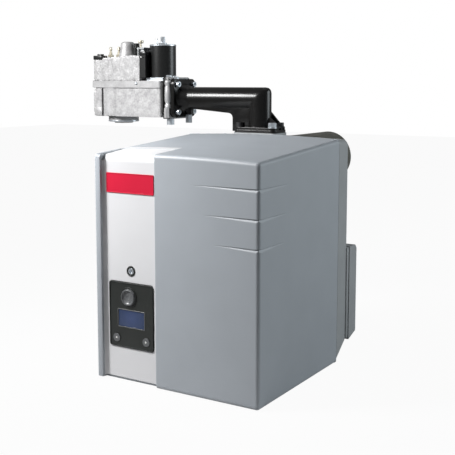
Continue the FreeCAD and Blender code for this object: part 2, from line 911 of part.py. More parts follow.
def display_bracket():
    """A plate behind the unit with two arms back to the scroll, and the boss for the hood's screw."""
    back = UNIT_BACK + " + bracket_thick"
    scroll_side = "-scroll_half - scroll_wall"
    bottom = "display_z - display_height / 2 + bracket_rim"
    top = "screw_z + bracket_above"
    left = "display_x - display_width / 2 - bracket_rim"
    sheet_metal = plate((left, scroll_side), (bottom, top), (UNIT_BACK, back), "bezel_round")
    arm_x = (scroll_side + " - bracket_arm_thick", scroll_side)
    upper = span(arm_x, (UNIT_BACK, "bracket_arm_end"), ("fan_z", "fan_z + bracket_arm"))
    lower = span(arm_x, (UNIT_BACK, "bracket_arm_end"), ("fan_z - 3 * bracket_arm", "fan_z - 2 * bracket_arm"))
    boss = bar("nut_boss_radius", "y", UNIT_BACK + " - nut_boss_length", UNIT_BACK, ("display_x", "screw_z"))
    hole = bar("screw_radius + screw_fit", "y", UNIT_BACK + " - nut_boss_length - 1", back + " + 1",
               ("display_x", "screw_z"))
    return cut(join(sheet_metal, upper, lower, boss), hole)


node(display_bracket(), "display_bracket")

# Cast rear shell, open to the front, with the pad that the gas pipe stands on.
SHELL_FRONT = CREASE + " + hood_gap"
SHELL_INSIDE = REAR_WALL + " - shell_wall"
TUBE_BORE = "tube_radius + tube_collar + tube_fit"
PAD_X = middle("gas_x", "foot_width / 2 + pad_rim")
PAD_Y = ("gas_y - foot_depth / 2 - pad_rim", REAR_WALL)
GAS = ("gas_x", "gas_y")


def tapered_box(y, x, x_inward, bottom, top):
    """A crowned box whose sides also draw in towards the rear."""
    form = crowned_form(y, x, bottom, top, "hood_crown")
    x_front = [worth(text) for text in x]
    inward = worth(x_inward)
    low_y, high_y = worth(y[0]), worth(y[1])
    corners = [
        FreeCAD.Vector(x_front[0], low_y, 0),
        FreeCAD.Vector(x_front[1], low_y, 0),
        FreeCAD.Vector(x_front[1] - inward, high_y, 0),
        FreeCAD.Vector(x_front[0] + inward, high_y, 0),
    ]
    half = 2 * worth("hood_height")
    outline = Part.Face(Part.makePolygon(corners + corners[:1]))
    outline.translate(FreeCAD.Vector(0, 0, -half))
    return form.common(outline.extrude(FreeCAD.Vector(0, 0, 2 * half)))


def foot_spots():
    return [("gas_x %s foot_screw_x" % a, "gas_y %s foot_screw_y" % b) for a in "-+" for b in "-+"]


def back_shell():
    rear_top = REAR_TOP + " - shell_top_fall"
    rear_bottom = BOTTOM + " + shell_bottom_rise"
    outer = tapered_box((SHELL_FRONT, REAR_WALL), (LEFT, RIGHT), "shell_taper", (BOTTOM, rear_bottom),
                        (REAR_TOP, rear_top))
    front_y = worth(SHELL_FRONT)
    outer = rounded_edges(outer, "shell_round", lambda edge: not lies_at(edge, "y", front_y))
    hollow = tapered_box(
        (SHELL_FRONT + " - 1", SHELL_INSIDE),
        (LEFT + " + shell_wall", RIGHT + " - shell_wall"), "shell_taper",
        (BOTTOM + " + shell_wall", rear_bottom + " + shell_wall"),
        (REAR_TOP + " - shell_wall", rear_top + " - shell_wall"))
    rear_y = worth(SHELL_INSIDE)
    hollow = rounded_edges(hollow, "shell_round - shell_wall", lambda edge: (
        not lies_at(edge, "y", front_y - 1) and not lies_at(edge, "y", rear_y)))
    tray = cut(feature(outer), feature(hollow))
    foot_pad = level_plate(PAD_X, PAD_Y, ("pad_bottom", "pad_top"), "foot_round")
    holes = [
        bar(TUBE_BORE, "y", SHELL_INSIDE, REAR_WALL + " + 1", ("0", "0")),
        bar("damper_radius", "y", SHELL_INSIDE + " - 1", REAR_WALL + " + 1", ("air_x", "air_z")),
        bar("pipe_bore", "z", "pad_bottom - 1", "pad_top + 1", GAS),
    ]
    holes += [bar("foot_screw_radius", "z", "pad_bottom", "pad_top + 1", at) for at in foot_spots()]
    return cut(join(tray, foot_pad), *holes)


node(back_shell(), "back_shell")


def flange_spots():
    return [("flange_pcd / 2 * sin(%d)" % angle, "flange_pcd / 2 * cos(%d)" % angle)
            for angle in (45, 135, 225, 315)]


def flange_like(y):
    body = plate(middle("0", "flange_half"), middle("0", "flange_half"), y, "flange_round")
    holes = [bar("flange_hole_radius", "y", y[0] + " - 1", y[1] + " + 1", at) for at in flange_spots()]
    return body, holes


flange, bolt_holes = flange_like(("-gasket_thick - flange_thick", "-gasket_thick"))
neck = bar(TUBE_BORE + " + flange_neck_wall", "y", REAR_WALL, "-gasket_thick", ("0", "0"))
tube_hole = bar(TUBE_BORE, "y", REAR_WALL + " - 1", "1", ("0", "0"))
node(cut(join(flange, neck), tube_hole, *bolt_holes), "boiler_flange")
gasket, gasket_holes = flange_like(("-gasket_thick", "0"))
tube_passage = bar(TUBE_BORE, "y", "-gasket_thick - 1", "1", ("0", "0"))
node(cut(gasket, tube_passage, *gasket_holes), "flange_gasket")

tube_wall = join(
    bar("tube_radius", "y", SHELL_INSIDE, "tube_length", ("0", "0")),
    bar("tube_radius + tube_collar", "y", SHELL_INSIDE, "0", ("0", "0")))
tube_inside = bar("tube_radius - tube_wall", "y", SHELL_INSIDE + " - 1", "tube_length + 1", ("0", "0"))
node(cut(tube_wall, tube_inside), "burner_tube")

# Gas foot, elbow and pipe, with the joint at its left end.
FOOT_BOTTOM = "pad_top + foot_gasket"
FOOT_LEDGE = FOOT_BOTTOM + " + foot_low"
FOOT_TOP = FOOT_LEDGE + " + foot_high"
PIPE_AXIS = ("gas_y", "pipe_z")
JOINT_LEFT = "pipe_left - joint_thick"
ADAPTER_LEFT = JOINT_LEFT + " - adapter_thick"
SEAL_LEFT = ADAPTER_LEFT + " - seal_thick"


def foot_plate(z, inset):
    return level_plate(middle("gas_x", "foot_width / 2 - (%s)" % inset),
                       middle("gas_y", "foot_depth / 2 - (%s)" % inset), z, "foot_round - (%s)" % inset)


foot_holes = [bar("foot_screw_radius + screw_fit", "z", "pad_top - 1", FOOT_TOP + " + 1", at) for at in foot_spots()]
seal_holes = [bar("foot_screw_radius + screw_fit", "z", "pad_top - 1", FOOT_TOP + " + 1", at) for at in foot_spots()]
passage = bar("pipe_bore", "z", "pad_top - 1", FOOT_TOP, GAS)
node(cut(foot_plate(("pad_top", FOOT_BOTTOM), "0"), passage, *seal_holes), "foot_gasket")


def upright_web(corners, thick):
    """A web that stands in the middle of the gas train, from its outline in the front view."""
    body = new_body()
    outline = sketch(body, "XZ_Plane", corners, lift="-gas_y")
    pad(body, outline, thick, both_ways=True)
    return body


def joint_spots():
    return [("gas_y %s joint_screw" % a, "pipe_z %s joint_screw" % b) for a in "-+" for b in "-+"]


def gas_elbow():
    """A cast elbow: foot, column, pipe, a web under the pipe, a gusset and a joint plate."""
    column_edge = "gas_x + corner_right"
    chamfer_start = column_edge + " - corner_chamfer"
    forms = [
        foot_plate((FOOT_BOTTOM, FOOT_LEDGE), "0"),
        foot_plate((FOOT_LEDGE, FOOT_TOP), "foot_step"),
        bar("column_radius", "z", FOOT_LEDGE, "pipe_z", GAS),
        bar("pipe_radius", "x", "pipe_left", chamfer_start, PIPE_AXIS),
        cone("pipe_radius", "pipe_radius - corner_chamfer", "x", chamfer_start, column_edge, PIPE_AXIS),
        cone("hub_radius", "pipe_radius", "x", "pipe_left", "pipe_left + hub_length", PIPE_AXIS),
        bar("boss_radius", "z", "boss_bottom", "pipe_z", ("boss_x", "gas_y")),
        side_plate(middle("gas_y", "joint_half"), middle("pipe_z", "joint_half"),
                   (JOINT_LEFT, "pipe_left"), "joint_round"),
        upright_web([
            ("gas_x", FOOT_LEDGE),
            ("gas_x - web_foot", FOOT_LEDGE),
            ("gas_x - web_foot", "pipe_z - 2 * pipe_radius"),
            ("gas_x - web_foot * 1.3", "pipe_z - 1.6 * pipe_radius"),
            ("gas_x - web_foot * 1.5", "pipe_z - 1.25 * pipe_radius"),
            ("gas_x - web_top", "pipe_z - 0.95 * pipe_radius"),
            ("gas_x - web_top", "pipe_z"),
            ("gas_x", "pipe_z"),
        ], "web_thick"),
        upright_web([
            ("gas_x", FOOT_LEDGE),
            ("gas_x + gusset_foot", FOOT_LEDGE),
            ("gas_x + gusset_foot", FOOT_TOP + " + 1"),
            ("gas_x", "gusset_top"),
        ], "gusset_thick"),
    ]
    holes = [
        bar("pipe_bore", "x", JOINT_LEFT + " - 1", "gas_x", PIPE_AXIS),
        bar("pipe_bore", "z", FOOT_BOTTOM + " - 1", "pipe_z", GAS),
    ]
    holes += foot_holes
    holes += [bar("joint_screw_radius + screw_fit", "x", JOINT_LEFT + " - 1", "pipe_left + 1", at)
              for at in joint_spots()]
    head_room = [bar("joint_head_radius + 1", "x", "pipe_left", "pipe_left + hub_length", at)
                 for at in joint_spots()]
    head_room += [bar("foot_head_radius + 1", "z", FOOT_TOP, FOOT_TOP + " + 2 * foot_head_length", at)
                  for at in foot_spots()]
    return cut(join(*forms), *(holes + head_room))


node(gas_elbow(), "gas_elbow")
node(set_of(*[
    socket_screw((at[0], at[1], FOOT_TOP), "-z", "foot_screw_radius", "foot_screw_length",
                 "foot_head_radius", "foot_head_length") for at in foot_spots()]), "foot_screws")
node(set_of(*[
    socket_screw(("pipe_left", at[0], at[1]), "-x", "joint_screw_radius", "joint_screw_length",
                 "joint_head_radius", "joint_head_length") for at in joint_spots()]), "joint_screws")
adapter = side_plate(middle("gas_y", "adapter_half_y"), middle("pipe_z", "adapter_half_z"),
                     (ADAPTER_LEFT, JOINT_LEFT), "joint_round")
adapter_holes = [bar("pipe_bore", "x", ADAPTER_LEFT + " - 1", JOINT_LEFT + " + 1", PIPE_AXIS)]
adapter_holes += [bar("joint_screw_radius", "x", "pipe_left - joint_screw_length", JOINT_LEFT + " + 1", at)
                  for at in joint_spots()]
node(cut(adapter, *adapter_holes), "gas_adapter")
adapter_bottom = "pipe_z - adapter_half_z"
drain_plug = bar("adapter_plug_radius", "z", adapter_bottom + " - adapter_plug_length", adapter_bottom,
                 (JOINT_LEFT + " - adapter_thick / 2", "gas_y + adapter_plug_y"))
test_plug = hexagon("plug_radius", "plug_length", ("boss_x", "gas_y", "boss_bottom - plug_length"))
node(set_of(drain_plug, test_plug), "gas_plugs")
seal = side_plate(middle("gas_y", "seal_half_y"), middle("pipe_z", "seal_half_z"), (SEAL_LEFT, ADAPTER_LEFT),
                  "joint_round")
node(cut(seal, bar("pipe_bore", "x", SEAL_LEFT + " - 1", ADAPTER_LEFT + " + 1", PIPE_AXIS)), "adapter_seal")

# Gas valve, from the seal to its inlet at the far left.
VALVE_LEFT = SEAL_LEFT + " - valve_length"
PLATE_LEFT = VALVE_LEFT + " - valve_over"
PLATE_TOP = "valve_split + valve_plate"
HEAD_LEFT = PLATE_LEFT + " + head_inset"
HEAD_TOP = PLATE_TOP + " + head_height"
COIL_X = SEAL_LEFT + " - coil_x"
COIL_BOTTOM = PLATE_TOP + " + coil_base"
COIL_TOP = COIL_BOTTOM + " + coil_height"
VALVE_Y = middle("gas_y", "valve_half")


def valve_body():
    """The lower casting: gas ports at both ends, a slot down its front and a round foot below."""
    casting = level_plate((VALVE_LEFT, SEAL_LEFT), VALVE_Y, ("valve_bottom", "valve_split"), "valve_round")
    slot = span((VALVE_LEFT + " + valve_groove_x", VALVE_LEFT + " + valve_groove_x + valve_groove_width"),
                (VALVE_Y[0] + " - 1", VALVE_Y[0] + " + valve_groove_deep"),
                ("valve_bottom - 1", "valve_split + 1"))
    inlet = bar("inlet_bore", "x", VALVE_LEFT + " - 1", VALVE_LEFT + " + inlet_depth", ("gas_y", "inlet_z"))
    outlet = bar("pipe_bore", "x", SEAL_LEFT + " - inlet_depth", SEAL_LEFT + " + 1", PIPE_AXIS)
    return cut(casting, slot, inlet, outlet)


def valve_head():
    """The upper casting, with upright ribs on its front."""
    form = level_plate((HEAD_LEFT, HEAD_LEFT + " + head_length"), VALVE_Y, (PLATE_TOP, HEAD_TOP), "valve_round")
    front = VALVE_Y[0]
    slots = []
    for step in range(4):
        low = HEAD_LEFT + " + head_length * %.2f" % (0.12 + 0.2 * step)
        slots.append(span((low, low + " + head_length * 0.13"), (front + " - 1", front + " + head_rib"),
                          (PLATE_TOP + " + head_rib", HEAD_TOP + " - 2 * head_rib")))
    return cut(form, *slots)


node(valve_body(), "valve_body")
upper_port = bar("pipe_bore", "x", SEAL_LEFT + " - inlet_depth", SEAL_LEFT + " + 1", PIPE_AXIS)
node(cut(level_plate((PLATE_LEFT, SEAL_LEFT), middle("gas_y", "valve_half + 2"), ("valve_split", PLATE_TOP),
                     "valve_round"), upper_port), "valve_plate")
node(valve_head(), "valve_head")
cover_at = (VALVE_LEFT + " + cover_x", "gas_y")
node(join(
    bar("cover_radius", "z", "valve_bottom - cover_height", "valve_bottom", cover_at),
    cone("cover_radius * 0.6", "cover_radius * 0.75", "z", "valve_bottom - 1.5 * cover_height",
         "valve_bottom - cover_height", cover_at)), "bottom_cover")
INLET_LEFT = VALVE_LEFT + " - inlet_thick"
inlet_plate = side_plate(middle("gas_y", "inlet_half"), middle("inlet_z", "inlet_half"), (INLET_LEFT, VALVE_LEFT),
                         "joint_round")
node(cut(inlet_plate, bar("inlet_bore", "x", INLET_LEFT + " - 1", VALVE_LEFT + " + 1", ("gas_y", "inlet_z"))),
     "inlet_flange")
node(level_plate(middle(COIL_X, "coil_radius - 1"), middle("gas_y", "coil_base_half"), (PLATE_TOP, COIL_BOTTOM),
                 "valve_round"), "coil_base")
COIL_AT = (COIL_X, "gas_y")
coil_pin = bar("adjuster_pin + pin_fit", "z", COIL_TOP + " - adjuster_pin_length", COIL_TOP + " + 1", COIL_AT)
node(cut(join(
    bar("coil_radius", "z", COIL_BOTTOM, COIL_TOP + " - coil_chamfer", COIL_AT),
    cone("coil_radius", "coil_radius - coil_chamfer", "z", COIL_TOP + " - coil_chamfer", COIL_TOP, COIL_AT),
), coil_pin), "coil")
terminal_x = middle(COIL_X + " + terminal_x", "terminal_width / 2")
terminal_y = middle("gas_y + terminal_y", "terminal_depth / 2")
round_side = bar("coil_radius", "z", COIL_BOTTOM, COIL_TOP, COIL_AT)
node(cut(span(terminal_x, terminal_y, (COIL_BOTTOM, COIL_BOTTOM + " + terminal_height")), round_side), "coil_terminal")
adjuster_low = COIL_TOP + " + adjuster_gap"
node(join(
    bar("adjuster_radius", "z", adjuster_low, adjuster_low + " + adjuster_height", COIL_AT),
    bar("adjuster_pin", "z", COIL_TOP + " - adjuster_pin_length + 1", adjuster_low, COIL_AT),
), "flow_adjuster")
DOME_AT = (HEAD_LEFT + " + dome_x", "gas_y")
node(join(
    bar("dome_radius", "z", HEAD_TOP, HEAD_TOP + " + dome_height * 0.5", DOME_AT),
    cone("dome_radius", "dome_radius * 0.8", "z", HEAD_TOP + " + dome_height * 0.5",
         HEAD_TOP + " + dome_height * 0.75", DOME_AT),
    bar("dome_radius * 0.8", "z", HEAD_TOP + " + dome_height * 0.75", HEAD_TOP + " + dome_height", DOME_AT),
), "regulator_dome")
CAP_AT = (HEAD_LEFT + " + cap_x", "gas_y")
node(join(
    bar("cap_radius", "z", HEAD_TOP, HEAD_TOP + " + cap_height", CAP_AT),
    bar("cap_radius * 0.6", "z", HEAD_TOP + " + cap_height", HEAD_TOP + " + cap_height * 1.3", CAP_AT),
), "regulator_cap")


def test_nipple(at):
    base = bar("nipple_radius * 1.4", "z", HEAD_TOP, HEAD_TOP + " + nipple_height * 0.4", at)
    tip = bar("nipple_radius", "z", HEAD_TOP + " + nipple_height * 0.4", HEAD_TOP + " + nipple_height", at)
    return join(base, tip)


node(set_of(*[test_nipple((HEAD_LEFT + " + nipple_x + %d * nipple_pitch" % step, "gas_y")) for step in (0, 1)]),
     "test_nipples")
node(span((HEAD_LEFT, HEAD_LEFT + " + connector_length"), (VALVE_Y[0], VALVE_Y[0] + " + connector_width"),
          (HEAD_TOP, HEAD_TOP + " + connector_height")), "valve_connector")

# Fan: a spiral housing, its cover with the inlet, the motor and the drum wheel.
SCROLL_LEFT = "-scroll_half - scroll_wall"
SCROLL_RIGHT = "scroll_half + scroll_wall"
FAN_AXIS = ("fan_y", "fan_z")


def arcs_of_scroll(wall):
    """Centre, radius and end angles of the spiral's three arcs, seen from the right."""
    y, z = worth("fan_y"), worth("fan_z")
    growth = worth("scroll_growth")
    first = worth("scroll_radius") + wall
    half = growth / 2
    tongue_y = y - half + worth("scroll_radius") * math.cos(math.radians(worth("tongue_angle"))) - wall
    start = math.acos((tongue_y - y + half) / first)
    return [
        ((y - half, z - half), first, start, math.pi),
        ((y + half, z - half), first + growth, math.pi, 1.5 * math.pi),
        ((y + half, z + half), first + 2 * growth, 1.5 * math.pi, 2 * math.pi),
    ]


def on_arc(arc, angle, extra=0.0):
    (y, z), radius = arc[0], arc[1] + extra
    return FreeCAD.Vector(0, y + radius * math.cos(angle), z + radius * math.sin(angle))


def scroll_face(wall):
    """The spiral with its duct up to the chamber: its space, or its outside with a wall added."""
    arcs = arcs_of_scroll(wall)
    edges = []
    for arc in arcs:
        start, end = arc[2], arc[3]
        edges.append(Part.Arc(on_arc(arc, start), on_arc(arc, (start + end) / 2), on_arc(arc, end)).toShape())
    first, last = on_arc(arcs[0], arcs[0][2]), on_arc(arcs[-1], arcs[-1][3])
    top = worth("chamber_bottom")
    corners = [last, FreeCAD.Vector(0, last.y, top), FreeCAD.Vector(0, first.y, top), first]
    edges += [Part.makeLine(corners[i], corners[i + 1]) for i in range(3)]
    return Part.Face(Part.Wire(edges))


def slab(face, low, high):
    """A face of the side view drawn out along X."""
    low, high = worth(low), worth(high)
    form = face.copy()
    form.translate(FreeCAD.Vector(low, 0, 0))
    return feature(form.extrude(FreeCAD.Vector(high - low, 0, 0)))


def lug_spots():
    """Where the screws of the cover stand, round the outside of the spiral."""
    arcs = arcs_of_scroll(worth("scroll_wall"))
    spots = []
    for arc, angle in ((0, 100), (1, 200), (1, 250), (2, 325)):
        point = on_arc(arcs[arc], math.radians(angle), worth("lug_head") + 0.5)
        spots.append((point.y, point.z))
    return spots


def lugs(radius, low, high):
    return [bar(radius, "x", low, high, (str(y), str(z))) for y, z in lug_spots()]


TONGUE_Y = arcs_of_scroll(0.0)[0][0][0] + worth("scroll_radius") * math.cos(math.radians(worth("tongue_angle")))
DUCT_REAR_Y = on_arc(arcs_of_scroll(0.0)[2], 0.0).y
spiral = join(slab(scroll_face(worth("scroll_wall")), SCROLL_LEFT, "scroll_half"),
              *lugs("lug_radius", "scroll_half - lug_length", "scroll_half"))
node(cut(spiral,
         slab(scroll_face(0.0), "-scroll_half", "scroll_half + 1"),
         bar("shaft_hole", "x", SCROLL_LEFT + " - 1", "0", FAN_AXIS),
         *lugs("lug_screw + screw_fit", "scroll_half - lug_length - 1", "scroll_half + 1")), "scroll_housing")
bell = cone("inlet_ring + scroll_wall", "inlet_ring + scroll_wall + 3", "x", "scroll_half - inlet_lip",
            "scroll_half", FAN_AXIS)
cover = join(slab(scroll_face(worth("scroll_wall")), "scroll_half", SCROLL_RIGHT), bell,
             *lugs("lug_radius", "scroll_half", SCROLL_RIGHT))
node(cut(cover, bar("inlet_ring", "x", "scroll_half - inlet_lip - 1", SCROLL_RIGHT + " + 1", FAN_AXIS),
         *lugs("lug_screw", "scroll_half - 1", SCROLL_RIGHT + " + 1")), "scroll_cover")
node(set_of(*[
    hexagon_screw(("scroll_half - lug_length", str(y), str(z)), "+x", "lug_screw", "lug_length + scroll_wall",
                  "lug_head", "lug_head") for y, z in lug_spots()]), "cover_screws")

motor_left = SCROLL_LEFT + " - motor_length"
ribs = []
for step in range(int(worth("motor_ribs"))):
    rib = doc.addObject("Part::Box", "rib")
    bind(rib, "Length", "motor_length * 0.7")
    bind(rib, "Width", "motor_flange_thick / 2")
    bind(rib, "Height", "motor_radius + motor_flange_thick")
    angle = FreeCAD.Rotation(FreeCAD.Vector(1, 0, 0), step * 360.0 / worth("motor_ribs"))
    rib.Placement = FreeCAD.Placement(FreeCAD.Vector(), angle)
    place(rib, (motor_left + " + motor_length * 0.1", "fan_y", "fan_z"))
    ribs.append(rib)
motor = join(
    bar("motor_radius", "x", motor_left, SCROLL_LEFT, FAN_AXIS),
    cone("motor_radius * 0.75", "motor_radius", "x", motor_left + " - motor_cap", motor_left, FAN_AXIS),
    bar("motor_flange", "x", SCROLL_LEFT + " - motor_flange_thick", SCROLL_LEFT, FAN_AXIS),
    *ribs)
node(cut(motor, bar("shaft_radius + spindle_fit", "x", "shaft_left - 1", SCROLL_LEFT + " + 1", FAN_AXIS)),
     "motor_body")
node(bar("shaft_radius", "x", "shaft_left", "shaft_right", FAN_AXIS), "motor_shaft")


def fan_wheel():
    """A drum wheel: a back disc with a hub, a ring of blades that lean forward, and a front ring."""
    half = worth("fan_width") / 2
    disc = worth("fan_disc")
    outer, inner = worth("fan_radius"), worth("fan_inner")
    thick = worth("blade_thick") / outer
    lean = math.radians(worth("blade_lean"))
    bow = worth("blade_bow")
    y, z = worth("fan_y"), worth("fan_z")

    def at(radius, angle):
        return FreeCAD.Vector(-half, y + radius * math.cos(angle), z + radius * math.sin(angle))

    def blade(turn):
        reach = [(inner, 0.0), ((inner + outer) / 2, bow * lean), (outer, lean)]
        near = [at(radius, turn + angle) for radius, angle in reach]
        far = [at(radius, turn + angle + thick) for radius, angle in reach]
        outline = Part.makePolygon(near + far[::-1] + near[:1])
        return Part.Face(outline).extrude(FreeCAD.Vector(2 * half, 0, 0))

    count = int(worth("fan_blades"))
    blades = feature(Part.makeCompound([blade(2 * math.pi * step / count) for step in range(count)]))
    left, right = "-fan_width / 2", "fan_width / 2"
    rim = bar("fan_radius + 0.8", "x", right + " - fan_disc", right, FAN_AXIS)
    back = bar("fan_radius + 0.8", "x", left, left + " + fan_disc", FAN_AXIS)
    eye = bar("fan_inner", "x", right + " - fan_disc - 1", right + " + 1", FAN_AXIS)
    hub = bar("hub_size", "x", left, "0", FAN_AXIS)
    shaft_hole = bar("shaft_radius", "x", left + " - 1", "1", FAN_AXIS)
    return cut(join(blades, rim, back, hub), eye, shaft_hole)


node(fan_wheel(), "fan_wheel")

# Chamber over the fan, which leads the air into the burner tube.
CHAMBER_FRONT = "%r - chamber_wall" % TONGUE_Y
BLOCK_X = middle("gas_x", "block_half")
BLOCK_Y = middle("gas_y", "block_half")


def head_chamber():
    wide = "chamber_half - chamber_wall"
    floor = "chamber_bottom + chamber_wall"
    outer = span(middle("0", "chamber_half"), (CHAMBER_FRONT, SHELL_INSIDE), ("chamber_bottom", "pad_bottom"))
    inner = span(middle("0", wide), (CHAMBER_FRONT + " + chamber_wall", SHELL_INSIDE + " + 1"),
                 (floor, "pad_bottom - chamber_wall"))
    duct = span(middle("0", "scroll_half"), (repr(TONGUE_Y), repr(DUCT_REAR_Y)), ("chamber_bottom - 1", floor + " + 1"))
    block_hole = span(middle("gas_x", "block_half + key_fit"), middle("gas_y", "block_half + key_fit"),
                      ("pad_bottom - chamber_wall - 1", "pad_bottom + 1"))
    boss = bar("spindle_boss", "y", CHAMBER_FRONT + " - spindle_boss_length", CHAMBER_FRONT, ("0", "0"))
    spindle_hole = bar("spindle_radius + spindle_fit", "y", CHAMBER_FRONT + " - spindle_boss_length - 1",
                       CHAMBER_FRONT + " + chamber_wall + 1", ("0", "0"))
    return cut(join(outer, boss), inner, duct, block_hole, spindle_hole)


node(head_chamber(), "head_chamber")

# Air side: intake box behind the shell, damper with its servo, and the box that leads to the fan.
AIR_AXIS = ("air_x", "air_z")


def suction_box():
    y = ("suction_front", "suction_rear")
    z = ("suction_bottom", "suction_top")
    outer = side_plate(y, z, (SCROLL_RIGHT, "suction_right"), "suction_round")
    inner = side_plate((y[0] + " + suction_wall", y[1] + " - suction_wall"),
                       (z[0] + " + suction_wall", z[1] + " - suction_wall"),
                       (SCROLL_RIGHT + " + suction_wall", "suction_right - suction_wall"),
                       "suction_round - suction_wall")
    eye = bar("inlet_ring", "x", SCROLL_RIGHT + " - 1", SCROLL_RIGHT + " + suction_wall + 1", FAN_AXIS)
    air_hole = bar("damper_radius", "y", "suction_rear - suction_wall - 1", "suction_rear + 1", AIR_AXIS)
    return cut(outer, inner, eye, air_hole)


def damper_body():
    """A short air pipe between two flanges, with bearings for the flap and a seat for the servo."""
    ring = "damper_radius + damper_wall"
    forms = [
        bar(ring, "y", "suction_rear", SHELL_INSIDE, AIR_AXIS),
        bar(ring + " + damper_flange", "y", "suction_rear", "suction_rear + damper_wall", AIR_AXIS),
        bar(ring + " + damper_flange", "y", SHELL_INSIDE + " - damper_wall", SHELL_INSIDE, AIR_AXIS),
        bar("2 * flap_shaft", "z", "air_z - flap_shaft_low - 2", "air_z - damper_radius", ("air_x", "damper_axis")),
        span(middle("air_x", "servo_half_x * 0.8"), middle("damper_axis", "servo_half_y * 0.8"),
             ("air_z + damper_radius * 0.7", "servo_bottom")),
    ]
    holes = [
        bar("damper_radius", "y", "suction_rear - 1", SHELL_INSIDE + " + 1", AIR_AXIS),
        bar("flap_shaft + spindle_fit", "z", "air_z - flap_shaft_low - 3", "servo_bottom + 1", ("air_x", "damper_axis")),
    ]
    return cut(join(*forms), *holes)


SERVO_TOP = "servo_bottom + servo_height"
DIAL_LOW = SERVO_TOP + " + key_fit"
DIAL_TOP = DIAL_LOW + " + dial_height"
FLAP_AXIS = ("air_x", "damper_axis")
node(suction_box(), "suction_box")
node(damper_body(), "damper_body")
flap_disc = bar("damper_radius - flap_fit", "y", "damper_axis - flap_thick / 2", "damper_axis + flap_thick / 2", AIR_AXIS)
node(join(flap_disc, bar("flap_shaft", "z", "air_z - flap_shaft_low", DIAL_TOP, FLAP_AXIS)), "air_flap")
servo = level_plate(middle("air_x", "servo_half_x"), middle("damper_axis", "servo_half_y"),
                    ("servo_bottom", SERVO_TOP), "valve_round")
node(cut(servo, bar("flap_shaft + spindle_fit", "z", "servo_bottom - 1", SERVO_TOP + " + 1", FLAP_AXIS)), "servo_box")
pointer = span(middle("air_x", "flap_shaft / 2"), ("damper_axis", "damper_axis + dial_radius"),
               (DIAL_TOP, DIAL_TOP + " + dial_height / 2"))
node(cut(join(bar("dial_radius", "z", DIAL_LOW, DIAL_TOP, FLAP_AXIS), pointer),
         bar("flap_shaft", "z", DIAL_LOW + " - 1", DIAL_TOP + " + dial_height", FLAP_AXIS)),
     "servo_dial")


def box_profile(inset, left, right, open_front):
    """The air box's side view, drawn in all round by an inset, between two sides."""
    body = new_body()
    front = REAR_WALL + (" - 1" if open_front else "")
    outline = sketch(body, "YZ_Plane", [
        (front, "box_front_bottom + (%s)" % inset),
        ("box_rear - (%s)" % inset, "box_rear_bottom + (%s)" % inset),
        ("box_rear - (%s)" % inset, "box_top - box_slant"),
        ("box_rear - box_slant", "box_top - (%s)" % inset),
        (front, "box_top - (%s)" % inset),
    ], lift=left)
    pad(body, outline, "(%s) - (%s)" % (right, left))
    return body


def air_box():
    outer = box_profile("0", "box_left", "box_right", False)
    rear = worth("box_rear")
    soften(outer, "box_round", lambda edge: lies_at(edge, "y", rear))
    inner = box_profile("box_wall", "box_left + box_wall", "box_right - box_wall", True)
    return cut(outer, inner, intake("0", "box_left - 1", "box_left + box_wall + 1"))


def intake(inset, low, high):
    """The opening in the air box's left side that the grille fills."""
    return span((low, high),
                (REAR_WALL + " + grille_rim + (%s)" % inset, "box_rear - grille_rim - (%s)" % inset),
                ("box_rear_bottom + grille_high + (%s)" % inset, "box_top - grille_low - (%s)" % inset))


def air_grille():
    """A flat plate in that opening with a row of level slots."""
    low_z = "box_rear_bottom + grille_high"
    high_z = "box_top - grille_low"
    pitch = "((%s) - (%s)) / grille_slots" % (high_z, low_z)
    slots = []
    for step in range(int(worth("grille_slots"))):
        bottom = "%s + %s * %.1f - grille_slot / 2" % (low_z, pitch, step + 0.5)
        slots.append(span(("box_left - 1", "box_left + box_wall + 1"),
                          (REAR_WALL + " + 1.7 * grille_rim", "box_rear - 1.7 * grille_rim"),
                          (bottom, bottom + " + grille_slot")))
    return cut(intake("screw_fit", "box_left", "box_left + box_wall"), *slots)


node(air_box(), "air_box")
node(air_grille(), "air_grille")

# Mixing head: the gas block is fixed, the lance slides in it with all that it carries.
block = span(BLOCK_X, BLOCK_Y, ("block_bottom", "pad_bottom"))
node(cut(block,
         bar("block_port", "z", "0", "pad_bottom + 1", GAS),
         bar("lance_radius + spindle_fit", "y", BLOCK_Y[0] + " - 1", BLOCK_Y[1] + " + 1", ("0", "0"))), "gas_block")
lance = bar("lance_radius", "y", "lance_start", "lance_end", ("0", "0"))
lance_bores = [
    bar("lance_hollow", "y", "lance_start + lance_plug", "lance_end + 1", ("0", "0")),
    bar("spindle_radius + spindle_fit", "y", "lance_start - 1", "lance_start + lance_plug - 4", ("0", "0")),
    bar("lance_hollow * 0.7", "z", "0", "lance_radius + 1", ("0", "gas_y + 5")),
]
node(cut(lance, *lance_bores), "gas_lance")
NOZZLE_END = "lance_end + nozzle_length"


def round_about(angle, lean=0.0):
    """A turn about the tube's axis, after a lean about the outward direction."""
    about = FreeCAD.Rotation(FreeCAD.Vector(0, 1, 0), angle)
    return about.multiply(FreeCAD.Rotation(FreeCAD.Vector(0, 0, 1), lean))


def spoke(width, thick, low, high, turn, y):
    """A flat bar that stands outwards from the tube's axis, between two radii."""
    solid = doc.addObject("Part::Box", "spoke")
    bind(solid, "Length", width)
    bind(solid, "Width", thick)
    bind(solid, "Height", "(%s) - (%s)" % (high, low))
    offset = FreeCAD.Vector(-worth(width) / 2, -worth(thick) / 2, worth(low))
    moved = turn.multVec(offset)
    solid.Placement = FreeCAD.Placement(FreeCAD.Vector(moved.x, moved.y + worth(y), moved.z), turn)
    return solid


